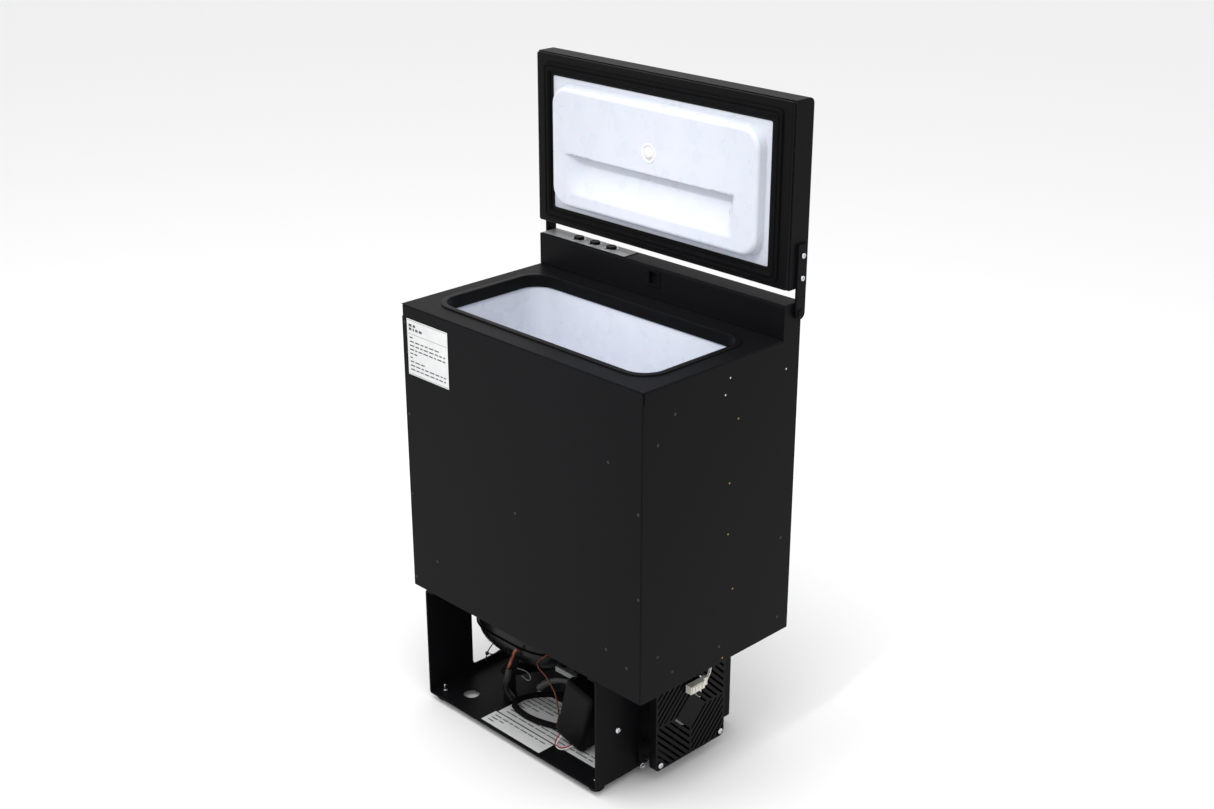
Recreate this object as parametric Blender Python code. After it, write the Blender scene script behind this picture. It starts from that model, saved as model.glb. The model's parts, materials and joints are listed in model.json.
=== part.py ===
"""Top-opening 12 V compressor chest freezer, shown with its lid open.

A sheet-metal cabinet with a white tub stands on an open tray that holds the compressor set.
Metres, +Z up. The front looks along -Y. The origin is on the floor, under the middle of the object.
Lid parts are modelled lying closed and hang on an empty on the hinge axis, which is then turned open.
"""

import math

import bmesh
import bpy
from mathutils import Matrix, Vector

# ---- Driving dimensions ------------------------------------------------------------------------
WIDTH = 0.400                # cabinet, left side panel to right side panel
DEPTH = 0.252                # cabinet, front panel to back panel
BODY_HEIGHT = 0.375          # cabinet, bottom panel to top panel
RAIL_HEIGHT = 0.040          # rear rail above the top panel
RAIL_DEPTH = 0.029
BASE_HEIGHT = 0.150          # compressor bay under the cabinet
FOOT_HEIGHT = 0.008
SHEET = 0.0012               # cabinet steel
TRAY_SHEET = 0.002           # base tray steel
TOUCH = 0.0003               # gap left between two pieces that touch
RELIEF_NOTCH = 0.014         # height of the notch where three sheets meet

OPENING_WIDTH = 0.342        # clear opening through the trim
OPENING_DEPTH = 0.160
OPENING_SETBACK = 0.032      # front panel to the clear opening
OPENING_RADIUS = 0.027
TRIM_FLANGE = 0.0075
TRIM_HEIGHT = 0.0018
TRIM_LIP = 0.0012
TRIM_DROP = 0.014
LINER_WALL = 0.0015
LINER_FLANGE = 0.006
FLOOR_INSULATION = 0.036     # foam under the tub
TUB_FILLET = 0.014
EVAPORATOR_SHEET = 0.001
EVAPORATOR_INSET = 0.060     # evaporator band to the cabinet's top and bottom

PIVOT_SETBACK = 0.245        # front panel to the hinge axis
PIVOT_RISE = 0.028           # top panel to the hinge axis
PIVOT_RADIUS = 0.0027
ARM_WIDTH = 0.015
ARM_SHEET = 0.003
ARM_REACH = 0.080            # hinge axis to the arm's far end
LID_OVERHANG = 0.0015        # lid beyond the cabinet, each side
ARM_CLEARANCE = 0.0003       # arm to the side of the lid
SCREW_CLEARANCE = 0.0002     # hole radius over screw radius
RUNNING_CLEARANCE = 0.00008  # hole radius over the radius of a shaft that turns in it
LID_OPEN_ANGLE = 90.0        # degrees from closed to the pose that is modelled
LID_SETBACK = 0.0045         # front panel to the closed lid's front edge
LID_DEPTH = 0.2115
PAN_HEIGHT = 0.030           # the lid's folded steel pan
PAN_BEHIND_ARM = 0.0045      # pan's skin beyond the arm's edge
LID_FRAME_HEIGHT = 0.004
LID_FRAME_MARGIN = 0.001     # lid frame inside the pan's edge
LID_FRAME_LIP = 0.0015       # lip round the liner's flange
LID_WINDOW_GAP = 0.0075      # plug to the lid frame's inner edge
GASKET_HEIGHT = 0.0028
GASKET_WIDTH = 0.0115
GASKET_INSET = 0.004         # lid frame's inner edge to the gasket
PLUG_HEIGHT = 0.013          # raised part of the lid liner
PLUG_CLEARANCE = 0.006       # plug to the clear opening, each side
PLUG_RADIUS = 0.024
SCOOP_LEFT = -0.145          # finger scoop in the plug, its two ends along X
SCOOP_RIGHT = 0.133
SCOOP_LENGTH = 0.050
SCOOP_DEPTH = 0.014
SCOOP_FROM_HINGE = 0.127     # hinge axis to the scoop's deep edge
LENS_RADIUS = 0.0115
LENS_FROM_HINGE = 0.151

BASE_LEFT = -0.179           # outer face of the tray's left wall
BASE_WIDTH = 0.3075
BASE_DEPTH = 0.234
TRAY_FLANGE = 0.014
TRAY_BEND = 0.0015
WINDOW_FROM_FRONT = 0.072
WINDOW_LENGTH = 0.110
WINDOW_SILL = 0.012
WINDOW_HEIGHT = 0.110
WINDOW_RADIUS = 0.006
DRAIN_RADIUS = 0.0105
DRAIN_FROM_WALL = 0.0425
DRAIN_FROM_FRONT = 0.0345
FOOT_RADIUS = 0.0105
FOOT_INSET = 0.014
STUD_RADIUS = 0.0015
STUD_RISE = 0.010            # stud above the tray's floor

FAN_SIZE = 0.120
FAN_THICKNESS = 0.025
FAN_FLANGE = 0.0040
FAN_BORE = 0.0575
FAN_BARREL = 0.0018
FAN_FROM_FRONT = 0.127       # front edge of the tray to the fan's axis
FAN_UNDER_CABINET = 0.080    # cabinet's bottom to the fan's axis
FAN_HUB = 0.020
FAN_PIN = 0.002              # radius of the pin that the rotor turns on
FAN_SCREW_PITCH = 0.105
FAN_SCREW_RADIUS = 0.0017
BLADES = 7
BLADE_CLEARANCE = 0.0015
BLADE_LEAN = 38.0            # degrees, blade to the fan's plane
BLADE_CHORD = 0.030
BLADE_SHEET = 0.0016
GUARD_THICKNESS = 0.0065
GUARD_PLATE = 0.0255         # half diagonal of the guard's solid middle
GUARD_PITCH = 0.0096         # step between diamond bars, along a rib
GUARD_BAR = 0.0040
GUARD_RIB = 0.0030
GUARD_BORDER = 0.0028
CONDENSER_THICKNESS = 0.030
CONDENSER_GAP = 0.007        # tray's right wall to the condenser

COMPRESSOR_LENGTH = 0.166    # along X
COMPRESSOR_DEPTH = 0.135
COMPRESSOR_HEIGHT = 0.090
COMPRESSOR_FROM_WALL = 0.004
COMPRESSOR_FROM_FRONT = 0.050
PLATE_RISE = 0.040           # tray floor to the compressor's mounting plate
PLATE_SHEET = 0.0025
MOUNT_RADIUS = 0.009

BUTTON_RADIUS = 0.0065
BUTTON_CLEARANCE = 0.0004
BUTTON_PROUD = 0.003
BUTTON_STEM = 0.006
BUTTON_TRAVEL = 0.0015
BUTTON_PITCH = 0.0285
BUTTON_FIRST = 0.056         # left side of the cabinet to the first button
STRIP_LENGTH = 0.145
STRIP_THICKNESS = 0.0006
SWITCH_SIZE = 0.020
SWITCH_RISE = 0.026          # top panel to the switch's centre
LABEL_WIDTH = 0.0745
LABEL_HEIGHT = 0.0705
LABEL_THICKNESS = 0.0003
LABEL_FROM_LEFT = 0.0095
LABEL_FROM_TOP = 0.016

# ---- Derived places ----------------------------------------------------------------------------
BOTTOM = FOOT_HEIGHT + BASE_HEIGHT
TOP = BOTTOM + BODY_HEIGHT
RAIL_TOP = TOP + RAIL_HEIGHT
LABEL_PROUD = TOUCH + LABEL_THICKNESS
LID_BACK = PIVOT_SETBACK + ARM_WIDTH / 2 + PAN_BEHIND_ARM
FRONT = (LABEL_PROUD - LID_BACK) / 2
BACK = FRONT + DEPTH
RAIL_FACE = BACK - RAIL_DEPTH
SIDE = WIDTH / 2
INSIDE = SIDE - SHEET - TOUCH
TRAY_FLOOR = FOOT_HEIGHT + TRAY_SHEET
TRAY_TOP = BOTTOM - TOUCH
BASE_RIGHT = BASE_LEFT + BASE_WIDTH
OPENING_FRONT = FRONT + OPENING_SETBACK
OPENING_BACK = OPENING_FRONT + OPENING_DEPTH
PIVOT_Y = FRONT + PIVOT_SETBACK
PIVOT_Z = TOP + PIVOT_RISE
LID_SIDE = SIDE + LID_OVERHANG
ARM_INNER = LID_SIDE + ARM_CLEARANCE
ARM_OUTER = ARM_INNER + ARM_SHEET
ARM_SCREWS = (0.041, 0.067)  # hinge axis to the two lid screws
ARM_SCREW_RADIUS = 0.0015
LID_FRONT = FRONT + LID_SETBACK - PIVOT_Y
LID_REAR = LID_FRONT + LID_DEPTH
PAN_TOP = ARM_WIDTH / 2 + PAN_BEHIND_ARM
PAN_RIM = PAN_TOP - PAN_HEIGHT
LID_FRAME_TOP = PAN_RIM - TOUCH
LID_FRAME_FACE = LID_FRAME_TOP - LID_FRAME_HEIGHT
PLUG_FRONT = OPENING_FRONT + PLUG_CLEARANCE - PIVOT_Y
PLUG_REAR = OPENING_BACK - PLUG_CLEARANCE - PIVOT_Y
PLUG_HALF = OPENING_WIDTH / 2 - PLUG_CLEARANCE
FAN_INNER = BASE_RIGHT + TOUCH
FAN_OUTER = FAN_INNER + FAN_THICKNESS
GUARD_INNER = FAN_OUTER + TOUCH
GUARD_OUTER = GUARD_INNER + GUARD_THICKNESS
FAN_Y = FRONT + FAN_FROM_FRONT
FAN_Z = BOTTOM - FAN_UNDER_CABINET
SHELL_X = BASE_LEFT + TRAY_SHEET + COMPRESSOR_FROM_WALL + COMPRESSOR_LENGTH / 2
SHELL_Y = FRONT + COMPRESSOR_FROM_FRONT + COMPRESSOR_DEPTH / 2
PLATE_BOTTOM = TRAY_FLOOR + PLATE_RISE
PLATE_TOP = PLATE_BOTTOM + PLATE_SHEET

ROUND_STEPS = 6              # segments in a quarter turn of a rounded corner
ROUND_SIDES = 24

# Each finish is a colour, a roughness and a metallic value.
FINISHES = {
    "black_powder_coat": ((0.018, 0.018, 0.020), 0.42, 0.0),
    "black_plastic": ((0.015, 0.015, 0.016), 0.38, 0.0),
    "black_rubber": ((0.020, 0.020, 0.021), 0.70, 0.0),
    "white_liner": ((0.78, 0.80, 0.86), 0.28, 0.0),
    "foam": ((0.82, 0.74, 0.52), 0.90, 0.0),
    "aluminium": ((0.72, 0.73, 0.74), 0.35, 1.0),
    "zinc_steel": ((0.70, 0.71, 0.72), 0.30, 1.0),
    "copper": ((0.85, 0.42, 0.25), 0.28, 1.0),
    "compressor_paint": ((0.012, 0.012, 0.013), 0.25, 0.0),
    "label_paper": ((0.86, 0.86, 0.84), 0.55, 0.0),
    "clear_lens": ((0.80, 0.82, 0.85), 0.12, 0.0),
    "grey_strip": ((0.55, 0.56, 0.57), 0.40, 0.0),
    "board": ((0.03, 0.16, 0.07), 0.45, 0.0),
}


# ---- Helpers -----------------------------------------------------------------------------------
def clear_scene():
    for obj in list(bpy.data.objects):
        bpy.data.objects.remove(obj, do_unlink=True)


def finish_material(name, finish):
    colour, roughness, metallic = FINISHES[finish]
    material = bpy.data.materials.new(name + "_" + finish)
    material.use_nodes = True
    shader = material.node_tree.nodes["Principled BSDF"]
    shader.inputs["Base Color"].default_value = (*colour, 1.0)
    shader.inputs["Roughness"].default_value = roughness
    shader.inputs["Metallic"].default_value = metallic
    material.diffuse_color = (*colour, 1.0)
    return material


def add_object(name, bm, finish=None, parent=None, place=None):
    """Makes an object of the mesh. Without a finish it is a hidden helper for a Boolean."""
    bmesh.ops.recalc_face_normals(bm, faces=bm.faces)
    mesh = bpy.data.meshes.new(name)
    bm.to_mesh(mesh)
    bm.free()
    mesh.shade_smooth()
    mesh.set_sharp_from_angle(angle=math.radians(35))
    obj = bpy.data.objects.new(name, mesh)
    bpy.context.scene.collection.objects.link(obj)
    if place is not None:
        obj.location = place
    obj.parent = parent
    if finish is None:
        obj.hide_render = True
        obj.display_type = "WIRE"
    else:
        mesh.materials.append(finish_material(name, finish))
    return obj


def combine(target, operation, bm, parent=None, place=None):
    """Adds an exact Boolean to the target, with the mesh as its hidden helper."""
    helper = add_object(f"{target.name}_{operation.lower()}_{len(target.modifiers)}", bm,
                        parent=parent, place=place)
    modifier = target.modifiers.new(operation.title(), "BOOLEAN")
    modifier.operation = operation
    modifier.solver = "EXACT"
    modifier.object = helper


def lofted(loops, ring=False):
    """A closed body through loops that all have the same number of points."""
    bm = bmesh.new()
    rows = [[bm.verts.new(point) for point in loop] for loop in loops]
    count = len(rows[0])
    pairs = list(zip(rows, rows[1:] + rows[:1])) if ring else list(zip(rows, rows[1:]))
    for lower, upper in pairs:
        for i in range(count):
            j = (i + 1) % count
            bm.faces.new((lower[i], lower[j], upper[j], upper[i]))
    if not ring:
        bm.faces.new(rows[0])
        bm.faces.new(rows[-1])
    return bm


def along(axis, height, first, second):
    """A point from its place along one axis and its two other coordinates, in X, Y, Z order."""
    values = [first, second]
    values.insert("XYZ".index(axis), height)
    return Vector(values)


def prism(outline, axis, start, end):
    loops = [[along(axis, height, *point) for point in outline] for height in (start, end)]
    return lofted(loops)


def block(low, high):
    outline = [(low[0], low[1]), (high[0], low[1]), (high[0], high[1]), (low[0], high[1])]
    return prism(outline, "Z", low[2], high[2])


def arc(centre, radius, start, end, steps):
    """Points from the start angle to the end angle, in degrees."""
    angles = [math.radians(start + (end - start) * i / steps) for i in range(steps + 1)]
    return [(centre[0] + radius * math.cos(a), centre[1] + radius * math.sin(a)) for a in angles]


def circle(centre, radius, sides=ROUND_SIDES):
    return arc(centre, radius, 0, 360 - 360 / sides, sides - 1)


def rounded(low, high, radius, steps=ROUND_STEPS):
    """The outline of a rectangle with round corners."""
    corners = [((high[0] - radius, high[1] - radius), 0), ((low[0] + radius, high[1] - radius), 90),
               ((low[0] + radius, low[1] + radius), 180), ((high[0] - radius, low[1] + radius), 270)]
    points = []
    for centre, turn in corners:
        points += arc(centre, radius, turn, turn + 90, steps)
    return points


def offset_loop(half, front, back, radius, offset, height, steps=ROUND_STEPS):
    """A rounded rectangle about X = 0, grown by the offset, as a loop at one height."""
    outline = rounded((-half - offset, front - offset), (half + offset, back + offset),
                      radius + offset, steps)
    return [Vector((x, y, height)) for x, y in outline]


def filleted(points, radius, steps=3):
    """An open line with its inner corners made round."""
    line = [points[0]]
    for before, corner, after in zip(points, points[1:], points[2:]):
        corner = Vector(corner)
        into = (corner - Vector(before)).normalized()
        away = (Vector(after) - corner).normalized()
        reach = radius * math.tan(into.angle(away) / 2)
        start = corner - into * reach
        end = corner + away * reach
        for i in range(steps + 1):
            t = i / steps
            point = start * (1 - t) ** 2 + corner * 2 * t * (1 - t) + end * t ** 2
            line.append(tuple(point))
    line.append(points[-1])
    return line


def folded_sheet(outer, inner, bend, sheet):
    """The outline of a folded sheet from its outer and its inner line."""
    return filleted(outer, bend + sheet) + filleted(inner, bend)[::-1]


def turned(profile, axis="Z", sides=ROUND_SIDES):
    """A turned body from (radius, height) pairs. It starts and ends on flat round faces."""
    return lofted([[along(axis, height, *point) for point in circle((0, 0), radius, sides)]
                   for radius, height in profile])


def cylinder(axis, centre, radius, start, end, sides=ROUND_SIDES):
    """A cylinder along an axis. The centre is its two other coordinates."""
    return prism(circle(centre, radius, sides), axis, start, end)


def smooth_route(points, spacing):
    """Points on a smooth curve through the route's own points."""
    points = [Vector(point) for point in points]
    ends = [2 * points[0] - points[1]] + points + [2 * points[-1] - points[-2]]
    route = []
    for a, b, c, d in zip(ends, ends[1:], ends[2:], ends[3:]):
        steps = max(1, round((c - b).length / spacing))
        for i in range(steps):
            t = i / steps
            route.append(0.5 * (2 * b + (c - a) * t + (2 * a - 5 * b + 4 * c - d) * t ** 2
                                + (3 * b - a - 3 * c + d) * t ** 3))
    return route + [points[-1]]


def tube(name, points, radius, finish, spacing):
    curve = bpy.data.curves.new(name, "CURVE")
    curve.dimensions = "3D"
    curve.bevel_depth = radius
    curve.bevel_resolution = 2
    curve.use_fill_caps = True
    route = smooth_route(points, spacing)
    spline = curve.splines.new("POLY")
    spline.points.add(len(route) - 1)
    for knot, point in zip(spline.points, route):
        knot.co = (*point, 1.0)
    curve.materials.append(finish_material(name, finish))
    obj = bpy.data.objects.new(name, curve)
    bpy.context.scene.collection.objects.link(obj)
    return obj


def bevel(obj, width, segments=2, angle=35):
    modifier = obj.modifiers.new("Bevel", "BEVEL")
    modifier.width = width
    modifier.segments = segments
    modifier.limit_method = "ANGLE"
    modifier.angle_limit = math.radians(angle)


# ---- Cabinet shell -----------------------------------------------------------------------------
def side_panels():
    """Flat panels that also close the rail's ends. Each has a relief notch at its top front corner."""
    ledge = TOP - SHEET - TOUCH
    notch = FRONT + 2 * SHEET
    outline = [(FRONT, BOTTOM), (BACK, BOTTOM), (BACK, RAIL_TOP), (RAIL_FACE, RAIL_TOP),
               (RAIL_FACE, ledge), (notch, ledge), (notch, ledge - RELIEF_NOTCH),
               (FRONT, ledge - RELIEF_NOTCH)]
    for name, outer, inner in (("left_side_panel", -SIDE, -SIDE + SHEET),
                               ("right_side_panel", SIDE, SIDE - SHEET)):
        panel = add_object(name, prism(outline, "X", inner, outer), "black_powder_coat")
        hole = cylinder("X", (PIVOT_Y, PIVOT_Z), PIVOT_RADIUS + RUNNING_CLEARANCE, inner * 0.9, outer * 1.1)
        combine(panel, "DIFFERENCE", hole)


def front_and_back_panels():
    ledge = TOP - SHEET - TOUCH
    add_object("front_panel", block((-INSIDE, FRONT, BOTTOM), (INSIDE, FRONT + SHEET, ledge)),
               "black_powder_coat")
    add_object("back_panel",
               block((-INSIDE, BACK - SHEET, BOTTOM), (INSIDE, BACK, RAIL_TOP - SHEET - TOUCH)),
               "black_powder_coat")


LINE_HOLES = ((0.020, 0.170), (0.045, 0.170))    # X, and Y from the front, of the two tube holes
LINE_HOLE_RADIUS = 0.006


def bottom_panel():
    panel = add_object("bottom_panel",
                       block((-INSIDE, FRONT + SHEET + TOUCH, BOTTOM),
                             (INSIDE, BACK - SHEET - TOUCH, BOTTOM + SHEET)), "black_powder_coat")
    for x, y in LINE_HOLES:
        combine(panel, "DIFFERENCE", cylinder("Z", (x, FRONT + y), LINE_HOLE_RADIUS,
                                              BOTTOM - SHEET, BOTTOM + 2 * SHEET))


def top_panel():
    """It covers the side panels' edges, and runs on between them under the rail."""
    outline = [(-SIDE, FRONT), (SIDE, FRONT), (SIDE, RAIL_FACE - TOUCH), (INSIDE, RAIL_FACE - TOUCH),
               (INSIDE, BACK - SHEET - TOUCH), (-INSIDE, BACK - SHEET - TOUCH),
               (-INSIDE, RAIL_FACE - TOUCH), (-SIDE, RAIL_FACE - TOUCH)]
    panel = add_object("top_panel", prism(outline, "Z", TOP - SHEET, TOP), "black_powder_coat")
    room = TRIM_LIP + TOUCH
    hole = [offset_loop(OPENING_WIDTH / 2, OPENING_FRONT, OPENING_BACK, OPENING_RADIUS, room, z)
            for z in (TOP - 2 * SHEET, TOP + SHEET)]
    combine(panel, "DIFFERENCE", lofted(hole))


def rail_places():
    """X of each button, and the Y that all of them share."""
    first = -SIDE + BUTTON_FIRST
    return [first + BUTTON_PITCH * i for i in range(3)], RAIL_FACE + RAIL_DEPTH / 2


def rear_rail():
    """A folded cap behind the opening. It carries the controls and the lid switch."""
    outer = [(RAIL_FACE, TOP + TOUCH), (RAIL_FACE, RAIL_TOP), (BACK, RAIL_TOP)]
    inner = [(RAIL_FACE + SHEET, TOP + TOUCH), (RAIL_FACE + SHEET, RAIL_TOP - SHEET),
             (BACK, RAIL_TOP - SHEET)]
    rail = add_object("rear_rail", prism(folded_sheet(outer, inner, TRAY_BEND, SHEET), "X",
                                         -INSIDE, INSIDE), "black_powder_coat")
    buttons, y = rail_places()
    for x in buttons:
        combine(rail, "DIFFERENCE", cylinder("Z", (x, y), BUTTON_RADIUS + BUTTON_CLEARANCE,
                                             RAIL_TOP - 2 * SHEET, RAIL_TOP + SHEET))
    half = SWITCH_SIZE / 2 - 0.001 + TOUCH
    z = TOP + SWITCH_RISE
    combine(rail, "DIFFERENCE", block((-half, RAIL_FACE - SHEET, z - half),
                                      (half, RAIL_FACE + 2 * SHEET, z + half)))


# ---- Tub and insulation ------------------------------------------------------------------------
def tub_loop(offset, height):
    """A loop round the tub. The offset is from the trim's clear opening."""
    return offset_loop(OPENING_WIDTH / 2, OPENING_FRONT, OPENING_BACK, OPENING_RADIUS, offset, height)


TUB_INNER = TRIM_LIP + TOUCH
TUB_OUTER = TUB_INNER + LINER_WALL
TUB_POCKET = TUB_OUTER + EVAPORATOR_SHEET + 2 * TOUCH
TUB_TOP = TOP - SHEET - TOUCH
TUB_FLOOR = BOTTOM + FLOOR_INSULATION


def tub_fillet(offset, floor, radius):
    """Loops from the floor up round the tub's bottom edge."""
    loops = []
    for turn in (270, 292.5, 315, 337.5, 360):
        angle = math.radians(turn)
        loops.append(tub_loop(offset - radius + radius * math.cos(angle),
                              floor + radius + radius * math.sin(angle)))
    return loops


def inner_liner():
    """The white tub, formed from one sheet, with a flange under the top panel."""
    inside = tub_fillet(TUB_INNER, TUB_FLOOR + LINER_WALL, TUB_FILLET)
    outside = tub_fillet(TUB_OUTER, TUB_FLOOR, TUB_FILLET + LINER_WALL)
    rim = [tub_loop(TUB_INNER, TUB_TOP), tub_loop(TUB_OUTER + LINER_FLANGE, TUB_TOP),
           tub_loop(TUB_OUTER + LINER_FLANGE, TUB_TOP - LINER_WALL),
           tub_loop(TUB_OUTER, TUB_TOP - LINER_WALL)]
    add_object("inner_liner", lofted(inside + rim + outside[::-1]), "white_liner")


def opening_trim():
    """Black trim over the tub's edge: a low flange on the top panel and a lip down into the tub."""
    face = TOP + TRIM_HEIGHT
    edge = TRIM_HEIGHT / 3
    loops = [tub_loop(TRIM_LIP, TOP + TOUCH), tub_loop(TRIM_FLANGE, TOP + TOUCH),
             tub_loop(TRIM_FLANGE, face - edge), tub_loop(TRIM_FLANGE - edge, face),
             tub_loop(edge, face), tub_loop(0, face - edge), tub_loop(0, TOP - TRIM_DROP),
             tub_loop(TRIM_LIP, TOP - TRIM_DROP)]
    add_object("opening_trim", lofted(loops, ring=True), "black_plastic")


def evaporator_plate():
    """An aluminium band round the tub, inside the foam."""
    low = BOTTOM + EVAPORATOR_INSET
    high = TOP - EVAPORATOR_INSET
    inner = TUB_OUTER + TOUCH
    outer = inner + EVAPORATOR_SHEET
    loops = [tub_loop(inner, low), tub_loop(outer, low), tub_loop(outer, high), tub_loop(inner, high)]
    add_object("evaporator_plate", lofted(loops, ring=True), "aluminium")


def foam_insulation():
    """Foam between the cabinet and the tub, open at the top where the tub drops in."""
    foam = add_object("foam_insulation",
                      block((-INSIDE + TOUCH, FRONT + SHEET + TOUCH, BOTTOM + SHEET + TOUCH),
                            (INSIDE - TOUCH, BACK - SHEET - TOUCH, TUB_TOP)), "foam")
    flange = TUB_OUTER + LINER_FLANGE + TOUCH
    under_flange = TUB_TOP - LINER_WALL - TOUCH
    pocket = tub_fillet(TUB_POCKET, TUB_FLOOR - TOUCH, TUB_FILLET + LINER_WALL)
    pocket += [tub_loop(TUB_POCKET, under_flange), tub_loop(flange, under_flange),
               tub_loop(flange, TUB_TOP + SHEET)]
    combine(foam, "DIFFERENCE", lofted(pocket))
    for x, y in LINE_HOLES:
        combine(foam, "DIFFERENCE", cylinder("Z", (x, FRONT + y), LINE_HOLE_RADIUS, BOTTOM,
                                             BOTTOM + FLOOR_INSULATION * 0.8, 12))


# ---- Base tray, feet ---------------------------------------------------------------------------
def fan_screw_places():
    half = FAN_SCREW_PITCH / 2
    return [(FAN_Y + y, FAN_Z + z) for y in (-half, half) for z in (half, -half)]


def foot_places():
    xs = (BASE_LEFT + FOOT_INSET, BASE_RIGHT - FOOT_INSET)
    ys = (FRONT + FOOT_INSET, FRONT + BASE_DEPTH - FOOT_INSET)
    names = (("foot_front_left", "foot_rear_left"), ("foot_front_right", "foot_rear_right"))
    return [(names[i][j], xs[i], ys[j]) for i in range(2) for j in range(2)]


BRACKET_SCREW = (FRONT + 0.035, BOTTOM - 0.080)
BRACKET_SCREW_RADIUS = 0.002


def base_tray():
    """One folded sheet: floor, two walls and two flanges that screw to the cabinet."""
    left, right, floor, top = BASE_LEFT, BASE_RIGHT, FOOT_HEIGHT, TRAY_TOP
    sheet = TRAY_SHEET
    outer = [(left + TRAY_FLANGE, top), (left, top), (left, floor), (right, floor), (right, top),
             (right - TRAY_FLANGE, top)]
    inner = [(left + TRAY_FLANGE, top - sheet), (left + sheet, top - sheet),
             (left + sheet, floor + sheet), (right - sheet, floor + sheet),
             (right - sheet, top - sheet), (right - TRAY_FLANGE, top - sheet)]
    tray = add_object("base_tray", prism(folded_sheet(outer, inner, TRAY_BEND, sheet), "Y",
                                         FRONT, FRONT + BASE_DEPTH), "black_powder_coat")
    window_y = FRONT + WINDOW_FROM_FRONT
    window_z = FOOT_HEIGHT + WINDOW_SILL
    window = rounded((window_y, window_z), (window_y + WINDOW_LENGTH, window_z + WINDOW_HEIGHT),
                     WINDOW_RADIUS, 3)
    combine(tray, "DIFFERENCE", prism(window, "X", left - sheet, left + 3 * sheet))
    wall = (right - 3 * sheet, right + sheet)
    combine(tray, "DIFFERENCE", cylinder("X", (FAN_Y, FAN_Z), FAN_BORE, *wall, 48))
    for place in fan_screw_places():
        combine(tray, "DIFFERENCE", cylinder("X", place, FAN_SCREW_RADIUS + SCREW_CLEARANCE, *wall, 12))
    combine(tray, "DIFFERENCE",
            cylinder("X", BRACKET_SCREW, BRACKET_SCREW_RADIUS + SCREW_CLEARANCE, *wall, 12))
    through = (FOOT_HEIGHT - sheet, TRAY_FLOOR + sheet)
    drain = (left + DRAIN_FROM_WALL, FRONT + DRAIN_FROM_FRONT)
    combine(tray, "DIFFERENCE", cylinder("Z", drain, DRAIN_RADIUS, *through, 32))
    for _, x, y in foot_places():
        combine(tray, "DIFFERENCE", cylinder("Z", (x, y), STUD_RADIUS + SCREW_CLEARANCE, *through, 12))


def feet():
    """Rubber feet with a moulded-in steel stud that passes up through the tray."""
    top = FOOT_HEIGHT - TOUCH
    stud = TRAY_FLOOR + STUD_RISE
    profile = [(FOOT_RADIUS * 0.72, 0), (FOOT_RADIUS * 0.93, FOOT_HEIGHT * 0.25),
               (FOOT_RADIUS, FOOT_HEIGHT * 0.6), (FOOT_RADIUS, top), (STUD_RADIUS, top),
               (STUD_RADIUS, stud)]
    for name, x, y in foot_places():
        add_object(name, turned(profile, sides=16), "black_rubber", place=(x, y, 0))


# ---- Compressor set ----------------------------------------------------------------------------
def shell_loop(share, height, sides=36):
    """A squarish oval round the compressor's middle, at a share of its full size."""
    loop = []
    for i in range(sides):
        angle = 2 * math.pi * i / sides
        c, s = math.cos(angle), math.sin(angle)
        x = math.copysign(abs(c) ** 0.62, c) * COMPRESSOR_LENGTH / 2 * share
        y = math.copysign(abs(s) ** 0.62, s) * COMPRESSOR_DEPTH / 2 * share
        loop.append(Vector((SHELL_X + x, SHELL_Y + y, height)))
    return loop


def dome_loop(turn, start, end):
    """A loop of one half, from its flat end at 15 degrees to its widest place at 90."""
    share = 0.965 * math.sin(math.radians(turn)) ** 0.55
    rise = math.cos(math.radians(turn)) / math.cos(math.radians(15))
    return shell_loop(share, start + (end - start) * rise)


def compressor_shell():
    """Two deep-drawn halves welded at a flange, modelled as one hermetic body."""
    bottom = PLATE_TOP + TOUCH
    middle = bottom + COMPRESSOR_HEIGHT * 0.52
    top = bottom + COMPRESSOR_HEIGHT
    lip = 0.0015
    lower = [dome_loop(turn, middle - lip, bottom) for turn in (15, 32, 50, 70, 90)]
    upper = [dome_loop(turn, middle + lip, top) for turn in (90, 68, 48, 30, 15)]
    weld = [shell_loop(1.0, middle - lip), shell_loop(1.0, middle + lip)]
    add_object("compressor_shell", lofted(lower + weld + upper), "compressor_paint")


MOUNT_SPREAD = 0.052         # shell's middle to each rear mount, along X
MOUNT_FRONT = 0.0555          # shell's middle to the front mount, along Y
MOUNT_REAR = 0.050


def mount_places():
    """One rubber mount at the front and two at the rear."""
    return [(SHELL_X - 0.002, SHELL_Y - MOUNT_FRONT), (SHELL_X - MOUNT_SPREAD, SHELL_Y + MOUNT_REAR),
            (SHELL_X + MOUNT_SPREAD, SHELL_Y + MOUNT_REAR)]


def compressor_plate():
    """A flat three-cornered plate under the shell, round at each mount."""
    reach = MOUNT_RADIUS + 0.003
    front, left, right = mount_places()
    outline = arc(front, reach, 220, 320, 5) + arc(right, reach, -30, 90, 5) + arc(left, reach, 90, 210, 5)
    plate = add_object("compressor_plate", prism(outline, "Z", PLATE_BOTTOM, PLATE_TOP),
                       "black_powder_coat")
    for place in mount_places():
        combine(plate, "DIFFERENCE", cylinder("Z", place, MOUNT_RADIUS * 0.6 + TOUCH,
                                              PLATE_BOTTOM - PLATE_SHEET, PLATE_TOP + PLATE_SHEET, 16))


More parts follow.
